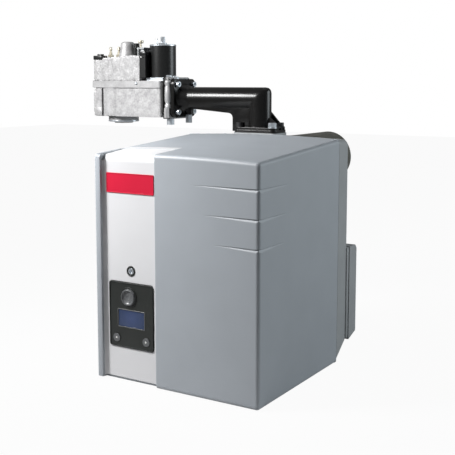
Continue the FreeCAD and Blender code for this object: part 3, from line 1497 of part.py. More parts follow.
def nozzle_head():
    holes = [
        bar("nozzle_hollow", "y", "lance_end + nozzle_wall", NOZZLE_END + " - nozzle_wall", ("0", "0")),
        bar("lance_hollow", "y", "lance_end - 1", "lance_end + nozzle_wall", ("0", "0")),
    ]
    count = int(worth("nozzle_slots"))
    middle_y = "lance_end + nozzle_length / 2"
    for step in range(count):
        holes.append(spoke("nozzle_slot_width", "nozzle_slot_length", "nozzle_hollow - 2", "nozzle_radius + 2",
                           round_about((step + 0.5) * 360.0 / count), middle_y))
    return cut(bar("nozzle_radius", "y", "lance_end", NOZZLE_END, ("0", "0")), *holes)


def rod_spots():
    """The two ignition electrodes below, and the flame probe above."""
    slant = "rod_ring * sin(45)"
    return [("-" + slant, "-" + slant), (slant, "-" + slant), ("0", "rod_ring")]


def flame_disc():
    """The baffle plate: slots between hub and rim, each with a leaning vane, and holes for the rods."""
    count = int(worth("disc_slots"))
    middle_y = "disc_y + disc_thick / 2"
    slots = []
    vanes = []
    for step in range(count):
        angle = (step + 0.5) * 360.0 / count
        slots.append(spoke("slot_width", "4 * disc_thick", "slot_inner", "slot_outer", round_about(angle), middle_y))
        vanes.append(spoke("slot_width + 1", "disc_thick / 2", "slot_inner - 0.3", "slot_outer + 0.3",
                           round_about(angle, worth("vane_lean")), middle_y))
    holes = [bar("nozzle_radius", "y", "disc_y - 1", "disc_y + disc_thick + 1", ("0", "0"))]
    holes += [bar("rod_radius", "y", "disc_y - 1", "disc_y + disc_thick + 1", at) for at in rod_spots()]
    disc = bar("disc_radius", "y", "disc_y", "disc_y + disc_thick", ("0", "0"))
    return join(cut(disc, *(slots + holes)), *vanes)


def rod_clamp(low):
    """A three-cornered plate on the lance that holds the rods."""
    body = new_body()
    outline = sketch(body, "XZ_Plane", [
        ("-clamp_half", "clamp_bottom"),
        ("clamp_half", "clamp_bottom"),
        ("0", "clamp_top"),
    ], circles=[("0", "0", "lance_radius")] + [at + ("rod_radius",) for at in rod_spots()],
        lift="-(%s)" % low)
    pad(body, outline, "clamp_thick")
    soften(body, "clamp_thick", lambda edge: runs_along(edge, "y"))
    return body


node(nozzle_head(), "nozzle_head")
node(flame_disc(), "flame_disc")
node(set_of(*[join(
    bar("rod_radius", "y", "rod_start", "disc_y - 8", at),
    bar("rod_radius * 0.4", "y", "disc_y - 8", "rod_end", at)) for at in rod_spots()]), "electrodes")
node(set_of(*[rod_clamp("clamp_first + %d * clamp_pitch + clamp_thick" % step) for step in (0, 1)]), "rod_clamps")
knob = bar("spindle_knob", "y", "spindle_start - spindle_knob_length", "spindle_start", ("0", "0"))
node(join(knob, bar("spindle_radius", "y", "spindle_start", "spindle_end", ("0", "0"))), "head_spindle")

# Electrical equipment on a side plate, and the plug socket at the back.
PLATE_X = ("chamber_half", "chamber_half + plate_thick")
node(side_plate(("plate_front", "plate_rear"), ("plate_bottom", "plate_top"), PLATE_X, "valve_round"),
     "equipment_plate")
BOX_X = (PLATE_X[1], PLATE_X[1] + " + transformer_width")
transformer_y = ("transformer_front", "transformer_front + transformer_length")
transformer_z = ("transformer_bottom", "transformer_bottom + transformer_height")
transformer = side_plate(transformer_y, transformer_z, BOX_X, "valve_round")
outlets = [bar("outlet_radius", "y", transformer_y[1], transformer_y[1] + " + outlet_length",
               (PLATE_X[1] + " + transformer_width / 2", "transformer_bottom + transformer_height * %s" % share))
           for share in ("0.3", "0.7")]
node(join(transformer, *outlets), "ignition_transformer")
node(side_plate(("control_front", "control_front + control_length"),
                ("control_bottom", "control_bottom + control_height"),
                (PLATE_X[1], PLATE_X[1] + " + control_width"), "valve_round"), "burner_control")
plug_body = plate(("socket_x", "socket_x + socket_width"), ("socket_z", "socket_z + socket_height"),
                  (REAR_WALL, REAR_WALL + " + socket_depth"), "box_round")
plug_hollow = plate(("socket_x + box_wall", "socket_x + socket_width - box_wall"),
                    ("socket_z + box_wall", "socket_z + socket_height - box_wall"),
                    (REAR_WALL + " + box_wall", REAR_WALL + " + socket_depth + 1"), "box_round - box_wall")
node(cut(plug_body, plug_hollow), "connection_socket")


def export_all():
    doc.recompute()
    for thing in doc.Objects:
        if "Invalid" in thing.State or "Error" in thing.State:
            raise RuntimeError("failed: %s %s %s" % (thing.Name, thing.Label, thing.getStatusString()))
    os.makedirs("parts", exist_ok=True)
    for piece in nodes:
        shape = piece.Shape
        if shape.isNull() or not shape.isValid() or not shape.Solids:
            raise RuntimeError("bad shape: " + piece.Label)
        shape.exportStep("parts/%s.step" % piece.Label)
    print("%d nodes written" % len(nodes))


doc.removeObject(workings.Name)
export_all()
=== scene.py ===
import json
import math

import bmesh
import bpy
from mathutils import Matrix, Vector, noise


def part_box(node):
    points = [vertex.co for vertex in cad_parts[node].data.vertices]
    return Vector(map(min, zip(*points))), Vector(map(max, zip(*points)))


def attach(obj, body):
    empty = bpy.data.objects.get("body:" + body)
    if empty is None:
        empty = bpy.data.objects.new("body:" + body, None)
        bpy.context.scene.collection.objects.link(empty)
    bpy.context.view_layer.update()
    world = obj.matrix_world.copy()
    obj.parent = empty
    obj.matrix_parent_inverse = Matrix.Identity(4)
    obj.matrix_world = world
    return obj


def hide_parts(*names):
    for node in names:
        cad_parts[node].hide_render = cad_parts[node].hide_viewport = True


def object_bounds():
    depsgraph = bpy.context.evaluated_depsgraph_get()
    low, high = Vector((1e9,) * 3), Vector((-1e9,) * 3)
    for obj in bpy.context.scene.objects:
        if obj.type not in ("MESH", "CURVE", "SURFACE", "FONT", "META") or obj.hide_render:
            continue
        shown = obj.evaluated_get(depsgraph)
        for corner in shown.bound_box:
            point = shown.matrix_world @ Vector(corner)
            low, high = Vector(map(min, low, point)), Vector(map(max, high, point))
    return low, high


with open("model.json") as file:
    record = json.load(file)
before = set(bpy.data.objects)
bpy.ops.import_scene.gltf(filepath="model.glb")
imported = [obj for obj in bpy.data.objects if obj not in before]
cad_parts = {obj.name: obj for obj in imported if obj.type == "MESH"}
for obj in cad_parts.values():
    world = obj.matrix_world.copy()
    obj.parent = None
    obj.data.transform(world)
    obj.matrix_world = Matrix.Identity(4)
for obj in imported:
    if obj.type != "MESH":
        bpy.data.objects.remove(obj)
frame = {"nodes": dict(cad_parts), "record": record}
cad_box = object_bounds()
MM = 0.001

BODY_OF = {node: body for body, nodes in frame["record"]["behaviour"]["bodies"].items() for node in nodes}
SLOT_OF = {part["node"]: part["material_slot"] for part in frame["record"]["subparts"]}


# Materials: every surface gets its colour, grain and gloss from nodes.

def new_material(name):
    material = bpy.data.materials.new(name)
    material.use_nodes = True
    tree = material.node_tree
    shader = next(item for item in tree.nodes if item.type == "BSDF_PRINCIPLED")
    return material, tree, shader


def coordinates(tree):
    return tree.nodes.new("ShaderNodeTexCoord").outputs["Object"]


def cloud(tree, where, scale, detail=4.0):
    texture = tree.nodes.new("ShaderNodeTexNoise")
    texture.inputs["Scale"].default_value = scale
    texture.inputs["Detail"].default_value = detail
    tree.links.new(where, texture.inputs["Vector"])
    return texture.outputs["Fac"]


def spread(tree, value, low, high):
    """Maps the middle of a noise to a range of numbers."""
    node = tree.nodes.new("ShaderNodeMapRange")
    node.inputs["From Min"].default_value = 0.3
    node.inputs["From Max"].default_value = 0.7
    node.inputs["To Min"].default_value = low
    node.inputs["To Max"].default_value = high
    tree.links.new(value, node.inputs["Value"])
    return node.outputs["Result"]


def two_tone(tree, value, low, high):
    ramp = tree.nodes.new("ShaderNodeValToRGB")
    ramp.color_ramp.elements[0].position = 0.35
    ramp.color_ramp.elements[1].position = 0.65
    ramp.color_ramp.elements[0].color = (*low, 1)
    ramp.color_ramp.elements[1].color = (*high, 1)
    tree.links.new(value, ramp.inputs["Fac"])
    return ramp.outputs["Color"]


def average(tree, first, second, share):
    """Two noises in one: the second's share, and the rest from the first."""
    node = tree.nodes.new("ShaderNodeMix")
    node.data_type = "FLOAT"
    node.inputs["Factor"].default_value = share
    tree.links.new(first, node.inputs["A"])
    tree.links.new(second, node.inputs["B"])
    return node.outputs["Result"]


def add_relief(tree, shader, height, strength, distance, edge):
    """The surface's fine relief, on edges that are softened by a small radius."""
    bump = tree.nodes.new("ShaderNodeBump")
    bump.inputs["Strength"].default_value = strength
    bump.inputs["Distance"].default_value = distance
    tree.links.new(height, bump.inputs["Height"])
    soft = tree.nodes.new("ShaderNodeBevel")
    soft.samples = 4
    soft.inputs["Radius"].default_value = edge
    tree.links.new(soft.outputs["Normal"], bump.inputs["Normal"])
    tree.links.new(bump.outputs["Normal"], shader.inputs["Normal"])


def shade(color, factor):
    return tuple(min(1.0, channel * factor) for channel in color)


def surface(name, color, rough, metal=0.0, grain=900.0, bump=0.15, depth=0.0001, mottle=0.06,
            mottle_scale=18.0, fine_share=0.0, rough_spread=0.06, coat=0.0, specular=0.5,
            edge=0.0006):
    """A moulded, painted or cast surface: cloudy colour, fine grain and uneven gloss.

    The colour varies by the mottle's share, and the depth of the grain and the edge's radius are in metres.
    """
    material, tree, shader = new_material(name)
    where = coordinates(tree)
    clouds = cloud(tree, where, mottle_scale, 5.0)
    if fine_share > 0:
        clouds = average(tree, clouds, cloud(tree, where, mottle_scale * 4.0, 3.0), fine_share)
    fine = cloud(tree, where, grain, 3.0)
    tree.links.new(two_tone(tree, clouds, shade(color, 1 - mottle), shade(color, 1 + mottle)),
                   shader.inputs["Base Color"])
    tree.links.new(spread(tree, fine, max(0.02, rough - rough_spread), rough + rough_spread),
                   shader.inputs["Roughness"])
    shader.inputs["Metallic"].default_value = metal
    shader.inputs["Coat Weight"].default_value = coat
    shader.inputs["Specular IOR Level"].default_value = specular
    relief = fine if fine_share == 0 else average(tree, clouds, fine, 0.5)
    add_relief(tree, shader, relief, bump, depth, edge)
    return material


MATERIALS = {
    "hood_grey": surface("hood_grey", (0.322, 0.347, 0.376), 0.50, grain=1500, bump=0.12, mottle=0.02,
                         specular=0.8, edge=0.0015),
    "panel_white": surface("panel_white", (0.575, 0.575, 0.586), 0.42, grain=1200, bump=0.05, mottle=0.012,
                           edge=0.001),
    "badge_red": surface("badge_red", (0.50, 0.010, 0.036), 0.36, grain=1500, bump=0.03, mottle=0.03,
                         specular=0.3),
    "zinc_steel": surface("zinc_steel", (0.63, 0.67, 0.71), 0.34, metal=0.85, grain=700, bump=0.12,
                          mottle=0.12, mottle_scale=120, edge=0.0004),
    "display_black": surface("display_black", (0.0115, 0.0135, 0.0120), 0.42, grain=2200, bump=0.2,
                             mottle=0.1),
    "key_grey": surface("key_grey", (0.10, 0.104, 0.108), 0.34, grain=1500, bump=0.08),
    "shell_grey": surface("shell_grey", (0.300, 0.312, 0.318), 0.52, grain=900, bump=0.25, mottle=0.04,
                          edge=0.001),
    "seal_black": surface("seal_black", (0.022, 0.022, 0.022), 0.75, grain=900, bump=0.3),
    "tube_steel": surface("tube_steel", (0.085, 0.083, 0.068), 0.45, metal=0.35, grain=500, bump=0.15,
                          mottle=0.14, mottle_scale=30),
    "gas_black": surface("gas_black", (0.0060, 0.0058, 0.0056), 0.25, grain=260, bump=0.02, depth=0.0002,
                         mottle=0.2, rough_spread=0.015, specular=0.26, edge=0.0012),
    "black_steel": surface("black_steel", (0.035, 0.035, 0.036), 0.34, metal=0.4, grain=700, bump=0.1),
    "cast_aluminium": surface("cast_aluminium", (0.36, 0.357, 0.36), 0.50, metal=0.2, grain=520, bump=0.8,
                              depth=0.0006, mottle=0.24, mottle_scale=75.0, fine_share=0.45, edge=0.001),
    "valve_edge": surface("valve_edge", (0.37, 0.367, 0.37), 0.42, metal=0.25, grain=600, bump=0.45,
                          depth=0.0003, mottle=0.12, mottle_scale=70.0, fine_share=0.3, edge=0.0008),
    "coil_black": surface("coil_black", (0.0095, 0.0100, 0.0100), 0.30, grain=1500, bump=0.10,
                          specular=0.4),
    "brass": surface("brass", (0.62, 0.57, 0.46), 0.34, metal=0.6, grain=700, bump=0.08, edge=0.0003),
    "motor_paint": surface("motor_paint", (0.09, 0.09, 0.10), 0.45, grain=800, bump=0.2),
    "fan_steel": surface("fan_steel", (0.50, 0.51, 0.52), 0.38, metal=0.9, grain=60, bump=0.08, mottle=0.14,
                         mottle_scale=90.0),
    "box_plastic": surface("box_plastic", (0.035, 0.036, 0.038), 0.55, grain=1300, bump=0.2),
    "control_blue": surface("control_blue", (0.06, 0.085, 0.13), 0.5, grain=1300, bump=0.15),
    "dial_white": surface("dial_white", (0.72, 0.72, 0.69), 0.5, grain=1300, bump=0.1),
    "ceramic": surface("ceramic", (0.78, 0.76, 0.70), 0.25, grain=900, bump=0.05, coat=0.4),
}


def display_glass():
    """Dark blue glass that is lighter in its middle."""
    material, tree, shader = new_material("lcd_blue")
    low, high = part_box("lcd_window")
    dark_from = 0.032
    source = tree.nodes.new("ShaderNodeTexCoord")
    mapping = tree.nodes.new("ShaderNodeMapping")
    mapping.inputs["Location"].default_value = -(low + high) / 2
    tree.links.new(source.outputs["Object"], mapping.inputs["Vector"])
    length = tree.nodes.new("ShaderNodeVectorMath")
    length.operation = "LENGTH"
    tree.links.new(mapping.outputs["Vector"], length.inputs[0])
    ramp = tree.nodes.new("ShaderNodeValToRGB")
    ramp.color_ramp.elements[0].position = 0.0
    ramp.color_ramp.elements[0].color = (0.036, 0.056, 0.135, 1)
    ramp.color_ramp.elements[1].position = dark_from
    ramp.color_ramp.elements[1].color = (0.016, 0.030, 0.072, 1)
    tree.links.new(length.outputs["Value"], ramp.inputs["Fac"])
    tree.links.new(ramp.outputs["Color"], shader.inputs["Base Color"])
    fine = cloud(tree, source.outputs["Object"], 2600, 2.0)
    tree.links.new(spread(tree, fine, 0.10, 0.16), shader.inputs["Roughness"])
    return material


MATERIALS["lcd_blue"] = display_glass()

for part in frame["record"]["subparts"]:
    for place in frame["nodes"][part["node"]].material_slots:
        place.material = MATERIALS[part["material_slot"]]


# Forms: all in millimetres until a piece is made of them.

def turned(profile, centre, axis="Z", sides=40, ring=False):
    """A turned form from (radius, height) pairs. A ring's last pair joins its first."""
    form = bmesh.new()
    rows = []
    for radius, height in profile:
        count = sides if radius > 0 else 1
        angles = [2 * math.pi * (step + 0.5) / sides for step in range(count)]
        rows.append([form.verts.new((radius * math.cos(a), radius * math.sin(a), height)) for a in angles])
    pairs = list(zip(rows, rows[1:]))
    if ring:
        pairs.append((rows[-1], rows[0]))
    for low, high in pairs:
        for step in range(sides):
            after = (step + 1) % sides
            corners = [low[step % len(low)], low[after % len(low)],
                       high[after % len(high)], high[step % len(high)]]
            form.faces.new(list(dict.fromkeys(corners)))
    if not ring:
        for end in (rows[0], rows[-1]):
            if len(end) > 2:
                form.faces.new(end)
    bmesh.ops.recalc_face_normals(form, faces=form.faces)
    turns = {"X": Matrix.Rotation(math.pi / 2, 4, "Y"), "Y": Matrix.Rotation(-math.pi / 2, 4, "X"),
             "Z": Matrix.Identity(4)}
    bmesh.ops.transform(form, matrix=Matrix.Translation(centre) @ turns[axis], verts=form.verts)
    return form


def soften(form, radius):
    bmesh.ops.bevel(form, geom=form.edges[:], offset=radius, segments=2, profile=0.5, affect="EDGES",
                    clamp_overlap=True)
    return form


def block(low, high, radius):
    """A block with rounded edges."""
    form = bmesh.new()
    bmesh.ops.create_cube(form, size=1)
    low, high = Vector(low), Vector(high)
    bmesh.ops.scale(form, vec=high - low, verts=form.verts)
    bmesh.ops.translate(form, vec=(low + high) / 2, verts=form.verts)
    return soften(form, radius)


def bar(outline, start, end, axis, radius):
    """A bar along an axis, from its outline in the two other coordinates, with rounded edges."""
    form = bmesh.new()
    place = {"X": lambda u, v, w: (w, u, v), "Y": lambda u, v, w: (u, w, v),
             "Z": lambda u, v, w: (u, v, w)}[axis]
    rows = [[form.verts.new(place(u, v, w)) for u, v in outline] for w in (start, end)]
    form.faces.new(rows[0])
    form.faces.new(rows[1])
    for step in range(len(outline)):
        after = (step + 1) % len(outline)
        form.faces.new((rows[0][step], rows[0][after], rows[1][after], rows[1][step]))
    bmesh.ops.recalc_face_normals(form, faces=form.faces)
    return soften(form, radius) if radius > 0 else form


def arc(centre, radii, start, end, steps):
    """Points of an elliptic arc, from one angle to another in degrees."""
    angles = [math.radians(start + (end - start) * step / steps) for step in range(steps + 1)]
    return [(centre[0] + radii[0] * math.cos(a), centre[1] + radii[1] * math.sin(a)) for a in angles]


def rounded(low, high, radius):
    """The outline of a rectangle with round corners."""
    corners = ((high[0] - radius, high[1] - radius, 0), (low[0] + radius, high[1] - radius, 90),
               (low[0] + radius, low[1] + radius, 180), (high[0] - radius, low[1] + radius, 270))
    return [point for u, v, start in corners
            for point in arc((u, v), (radius, radius), start, start + 90, 5)]


def frame_bar(low, high, width, front, back, radius=1.4):
    """A flat frame with round corners in the XZ plane, from its outer corners."""
    outer = rounded(low, high, radius)
    inner_radius = max(radius - width, 0.2)
    inner = rounded((low[0] + width, low[1] + width), (high[0] - width, high[1] - width), inner_radius)
    worn = [((x * 4 + u) / 5, (z * 4 + v) / 5) for (x, z), (u, v) in zip(outer, inner)]
    form = bmesh.new()
    rows = [[form.verts.new((x, y, z)) for x, z in line] for y, line in
            ((back, outer), (front + 0.2, outer), (front, worn), (front, inner), (back, inner))]
    for index, low_row in enumerate(rows):
        high_row = rows[(index + 1) % len(rows)]
        for step in range(len(outer)):
            after = (step + 1) % len(outer)
            form.faces.new((low_row[step], low_row[after], high_row[after], high_row[step]))
    bmesh.ops.recalc_face_normals(form, faces=form.faces)
    return form


def hexagon(radius, low, high, centre, chamfer=0.6):
    """A hexagon head with chamfered ends, upright from one height to another."""
    return turned([(0, low), (radius - chamfer, low), (radius, low + chamfer), (radius, high - chamfer),
                   (radius - chamfer, high), (0, high)], centre, sides=6)


def together(*forms):
    """Several forms in one."""
    whole = bmesh.new()
    for form in forms:
        mesh = bpy.data.meshes.new("part")
        form.to_mesh(mesh)
        form.free()
        whole.from_mesh(mesh)
        bpy.data.meshes.remove(mesh)
    return whole


def piece(name, form, node, slot=None, replaced=(), crease=35):
    """A piece that rides with a CAD node, in the node's own finish or in another slot's."""
    bmesh.ops.scale(form, vec=(MM, MM, MM), verts=form.verts)
    mesh = bpy.data.meshes.new(name)
    form.to_mesh(mesh)
    form.free()
    mesh.shade_smooth()
    mesh.set_sharp_from_angle(angle=math.radians(crease))
    thing = bpy.data.objects.new(name, mesh)
    bpy.context.scene.collection.objects.link(thing)
    finish = slot or SLOT_OF[node]
    mesh.materials.append(MATERIALS[finish])
    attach(thing, BODY_OF[node])
    if replaced:
        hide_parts(*replaced)


def remesh(form, voxel):
    """The form in even small faces, with its edges slightly worn."""
    mesh = bpy.data.meshes.new("block")
    form.to_mesh(mesh)
    form.free()
    thing = bpy.data.objects.new("block", mesh)
    bpy.context.scene.collection.objects.link(thing)
    fine = thing.modifiers.new("fine", "REMESH")
    fine.mode = "VOXEL"
    fine.voxel_size = voxel
    worn = thing.modifiers.new("worn", "SMOOTH")
    worn.factor = 0.5
    worn.iterations = 2
    made = bpy.data.meshes.new_from_object(thing.evaluated_get(bpy.context.evaluated_depsgraph_get()))
    bpy.data.objects.remove(thing)
    result = bmesh.new()
    result.from_mesh(made)
    bpy.data.meshes.remove(made)
    return result


# The gas train: the valve with its coil, the joint and the elbow, on one plane. Places are in millimetres.

GAS_Y = -58.0
HEAD_TOP = 198.0
COVER_X = -308.0
DOME_X = -296.5
CAP_X = -274.5
EYE_X = -264.5
COIL_X = -213.0
COIL_BOTTOM = 158.0
COIL_TOP = 218.5
BARREL_X = -177.6
PIPE_Z = 120.5
PIPE_LEFT = -165.0
COLUMN_X = -3.0
FOOT_TOP = 71.0
FOOT_SCREW = (30, -73)


def cast_head():
    """The rough cast block of the valve's head, with vague uneven ribs down its front."""
    low, high = (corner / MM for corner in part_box("valve_head"))
    outline = [(low.x, low.z), (low.x, low.z + 41), (low.x + 21, low.z + 41), (low.x + 23, low.z + 44),
               (low.x + 50, low.z + 45.5), (high.x - 16, low.z + 48), (high.x, low.z + 46.5), (high.x, low.z)]
    voxel = 1.25
    form = remesh(bar(outline, low.y + 0.3, high.y, "Y", 1.6), voxel)
    # Each rib's distance from the left side, half width and height.
    ribs = ((9, 2.2, 0.9), (24, 4.0, 0.6), (37, 2.0, 1.0), (49, 3.4, 0.7), (66, 2.4, 0.9), (80, 5.0, 0.6),
            (97, 2.2, 0.8))
    rib_height = 1.5
    fine_scale, coarse_scale = 0.32, 0.11
    fine_height, coarse_height, sink = 0.28, 0.22, 0.25
    form.normal_update()
    for vertex in form.verts:
        point, out = vertex.co.copy(), vertex.normal.copy()
        fine = fine_height * noise.noise(point * fine_scale)
        coarse = coarse_height * noise.noise(point * coarse_scale)
        shift = out * (fine + coarse - sink)
        faces_front = out.y < -0.7
        if faces_front:
            lean = 0.12 * (point.z - low.z) * noise.noise(Vector((point.x * 0.03, 0, 7)))
            rise = sum(height * math.exp(-((point.x - low.x - at + lean) / width) ** 2)
                       for at, width, height in ribs) * rib_height
            fade = 0.6 + 0.4 * noise.noise(Vector((point.x * 0.05, 3, point.z * 0.09)))
            shift += Vector((0, 1.0 - rise * fade, 0))
        vertex.co = point + shift
    piece("valve_head_casting", form, "valve_head", replaced=["valve_head"], crease=60)


def valve_body_details():
    """The column and foot of the lower casting, the plate's screw and gasket, and the cover's rim."""
    front, column_x, column_half = -94.5, -312.5, 16.5
    column = [(column_x - column_half, front), *arc((column_x, front + 0.9), (16, 3.2), 196, 344, 14),
              (column_x + column_half, front)]
    piece("valve_column", bar(column, 85.6, 139, "Z", 0), "valve_body")
    piece("valve_foot", block((-349.5, -96.2, 86), (-331, -90, 102), 1.2), "valve_body")
    screw = [(0, 0), (2.6, 0), (2.6, -0.9), (2.1, -1.4), (1.2, -1.5), (1.1, -0.6), (0, -0.6)]
    piece("plate_screw", turned(screw, (-247, -97, 147.4), "Y", 24), "valve_plate", "zinc_steel")
    piece("plate_gasket", block((-352, -96, 151.4), (-241, -22, 152.6), 0.3), "valve_plate", "seal_black")
    rim = [(28.2, 74), (29.4, 74.6), (29.4, 77), (28.2, 77.6)]
    piece("cover_rim", turned(rim, (COVER_X, GAS_Y, 0), sides=64, ring=True), "bottom_cover", "zinc_steel")


def regulator():
    """The regulator's tall dome, its knurled knob and the brass eye beside it."""
    dome = [(0, 0), (16.5, 0), (16.5, 5), (15.2, 8), (14.2, 14), (13.4, 22), (12.6, 25.5), (10.8, 27.6),
            (7.5, 28.3), (0, 28.4)]
    piece("regulator_bonnet", turned(dome, (DOME_X, GAS_Y, HEAD_TOP), sides=48), "regulator_dome",
          replaced=["regulator_dome"])
    knurls = []
    for step in range(24):
        reach = 7.5 if step % 2 else 6.9
        angle = 2 * math.pi * step / 24
        knurls.append((CAP_X + reach * math.cos(angle), GAS_Y + reach * math.sin(angle)))
    knob_top = [(0, 16), (7.2, 16), (6.4, 18), (5.4, 18.4), (5.2, 24), (4.4, 25), (0, 25)]
    piece("regulator_knob", together(bar(knurls, HEAD_TOP, HEAD_TOP + 16.6, "Z", 0),
                                     turned(knob_top, (CAP_X, GAS_Y, HEAD_TOP))),
          "regulator_cap", replaced=["regulator_cap"])
    stem = [(0, 0), (1.8, 0), (1.8, 26), (0, 26)]
    eye = [(4.6, 25), (5.2, 26), (5.2, 29.5), (4.6, 30.5), (2.6, 30.5), (2.6, 25)]
    eye_at = (EYE_X, GAS_Y, HEAD_TOP)
    piece("brass_eye", together(turned(stem, eye_at, sides=20), turned(eye, eye_at, ring=True)),
          "regulator_cap", "brass")


def head_top_details():
    """The bracket, the two test points and the plug on top of the valve's head."""
    piece("lever_bracket", together(block((-261, -72, 197), (-247, -46, 211), 1.2),
                                    block((-262.5, -74, 211), (-245.5, -44, 214.5), 0.6),
                                    block((-259, -76.5, 199), (-256.5, -71, 212), 0.5)),
          "valve_head", "shell_grey")
    nipple = [(0, 4), (2.9, 4), (2.9, 9), (2.0, 10), (2.0, 13), (3.0, 14), (2.6, 18.5), (1.9, 19.2),
              (0, 19.2)]
    nipples = []
    for x in (-338, -318):
        at = (x, GAS_Y, HEAD_TOP)
        nipples += [hexagon(5.6, 0, 4.5, at), turned(nipple, at, sides=24)]
    piece("test_points", together(*nipples), "test_nipples", replaced=["test_nipples"])
    piece("plug_socket", together(block((-351.3, -95, 192.4), (-331, -77, 200), 0.8),
                                  block((-345, -91, 199.5), (-336, -81, 203), 0.8)),
          "valve_connector", replaced=["valve_connector"])


def coil_details():
    """The coil's rims, its nut and post, the spindle on top and the terminal's lid and screws."""
    bottom, top = (COIL_X, GAS_Y, COIL_BOTTOM), (COIL_X, GAS_Y, COIL_TOP)
    rim = [(22.4, -1.5), (24.9, -1.9), (24.9, 0.1), (24.2, 0.8), (22.4, 0.8)]
    foot = [(22.5, 0), (25.2, 0), (25.2, 2), (24.6, 2.6)]
    nut = [(4.6, 0), (7.6, 0), (8.2, 0.5), (8.2, 3.5), (7.6, 4.1), (4.6, 4.1)]
    post = [(0, 0), (1.7, 0), (1.7, 11.5), (1.2, 12.5), (0, 12.5)]
    piece("coil_rim", turned(rim, top, sides=64, ring=True), "coil", "zinc_steel")
    piece("coil_foot", turned(foot, bottom, sides=64, ring=True), "coil", "coil_black")
    piece("coil_nut", turned(nut, top, sides=6, ring=True), "coil", "zinc_steel")
    piece("coil_post", turned(post, (COIL_X - 14, GAS_Y, COIL_TOP), sides=20), "coil", "zinc_steel")
    spindle = [(0, -8), (4.1, -8), (4.1, 5.5), (0, 5.5)]
    piece("adjuster_spindle", together(turned(spindle, top), hexagon(4.2, 5.1, 15.3, top)),
          "flow_adjuster", replaced=["flow_adjuster"])
    screw_z = 196
    lid_screw = turned([(0, 0), (1.6, 0), (1.5, -0.9), (0, -1)], (-233, -93.2, screw_z), "Y", 20)
    piece("terminal_lid", together(block((-241.4, -93.4, 199), (-228, -74.6, 206), 1.0), lid_screw),
          "coil_terminal")
    piece("terminal_screw", turned([(0, 0), (1.5, 0), (1.3, -0.8), (0, -1)], (-237.5, -93, screw_z), "Y", 20),
          "coil_terminal", "dial_white")


def joint_details():
    """The bright barrel, plug and nuts of the pipe joint beside the valve, on a black plate that is partly
    its dark gasket and partly painted shade.
    """
    # A thin black plate on the joint's front: partly the dark gasket, partly painted shade beside the barrel.
    cover = block((-188.2, -93.2, 82.6), (-173.6, -91.6, 158.4), 0.5)
    piece("joint_gasket_and_shade", cover, "gas_adapter", "gas_black")
    barrel = [(0, 102), (5.0, 102), (6.2, 103.4), (6.3, 108), (5.0, 110), (5.0, 112), (6.3, 114.5),
              (6.6, 127), (6.3, 139.5), (5.1, 142), (5.1, 144), (6.2, 146.5), (6.2, 151.5), (5.2, 153),
              (0, 153)]
    piece("joint_barrel", turned(barrel, (BARREL_X, -91.5, 0)), "gas_adapter", "valve_edge")
    piece("joint_plug", hexagon(6.4, 84, 102.5, (-179, -92, 0)), "gas_adapter", "valve_edge")
    dome_nut = [(0, 0), (4, 0), (4, 2.4), (2.6, 3.6), (0, 3.8)]
    nuts = [hexagon(5.2, 0, 4.5, (-181, -84, 158)), hexagon(4.8, 0, 4.5, (-169, -78, 155)),
            turned(dome_nut, (-181, -66, 158), sides=24)]
    piece("joint_nuts", together(*nuts), "gas_adapter", "zinc_steel")


def mitred_pipe(radius, blunt, left, bottom):
    """A round pipe that runs right and turns down in a mitred corner, whose outer side is blunt."""
    sides = 48
    angles = [2 * math.pi * step / sides for step in range(sides)]
    circle = [(radius * math.cos(a), radius * math.sin(a)) for a in angles]
    lines = [[(left, GAS_Y + side, PIPE_Z + up) for side, up in circle]]
    for back, down in ((1, 0), (0.55, 0.08), (0.27, 0.27), (0.08, 0.55), (0, 1)):
        line = []
        for side, up in circle:
            cut = blunt * (up + radius) / (2 * radius)
            line.append((COLUMN_X + up - back * cut, GAS_Y + side, PIPE_Z + up - down * cut))
        lines.append(line)
    lines.append([(COLUMN_X + up, GAS_Y + side, bottom) for side, up in circle])
    form = bmesh.new()
    rows = [[form.verts.new(point) for point in line] for line in lines]
    for near, far in zip(rows, rows[1:]):
        for step in range(sides):
            after = (step + 1) % sides
            form.faces.new((near[step], near[after], far[after], far[step]))
    form.faces.new(rows[0])
    form.faces.new(rows[-1])
    bmesh.ops.recalc_face_normals(form, faces=form.faces)
    return form


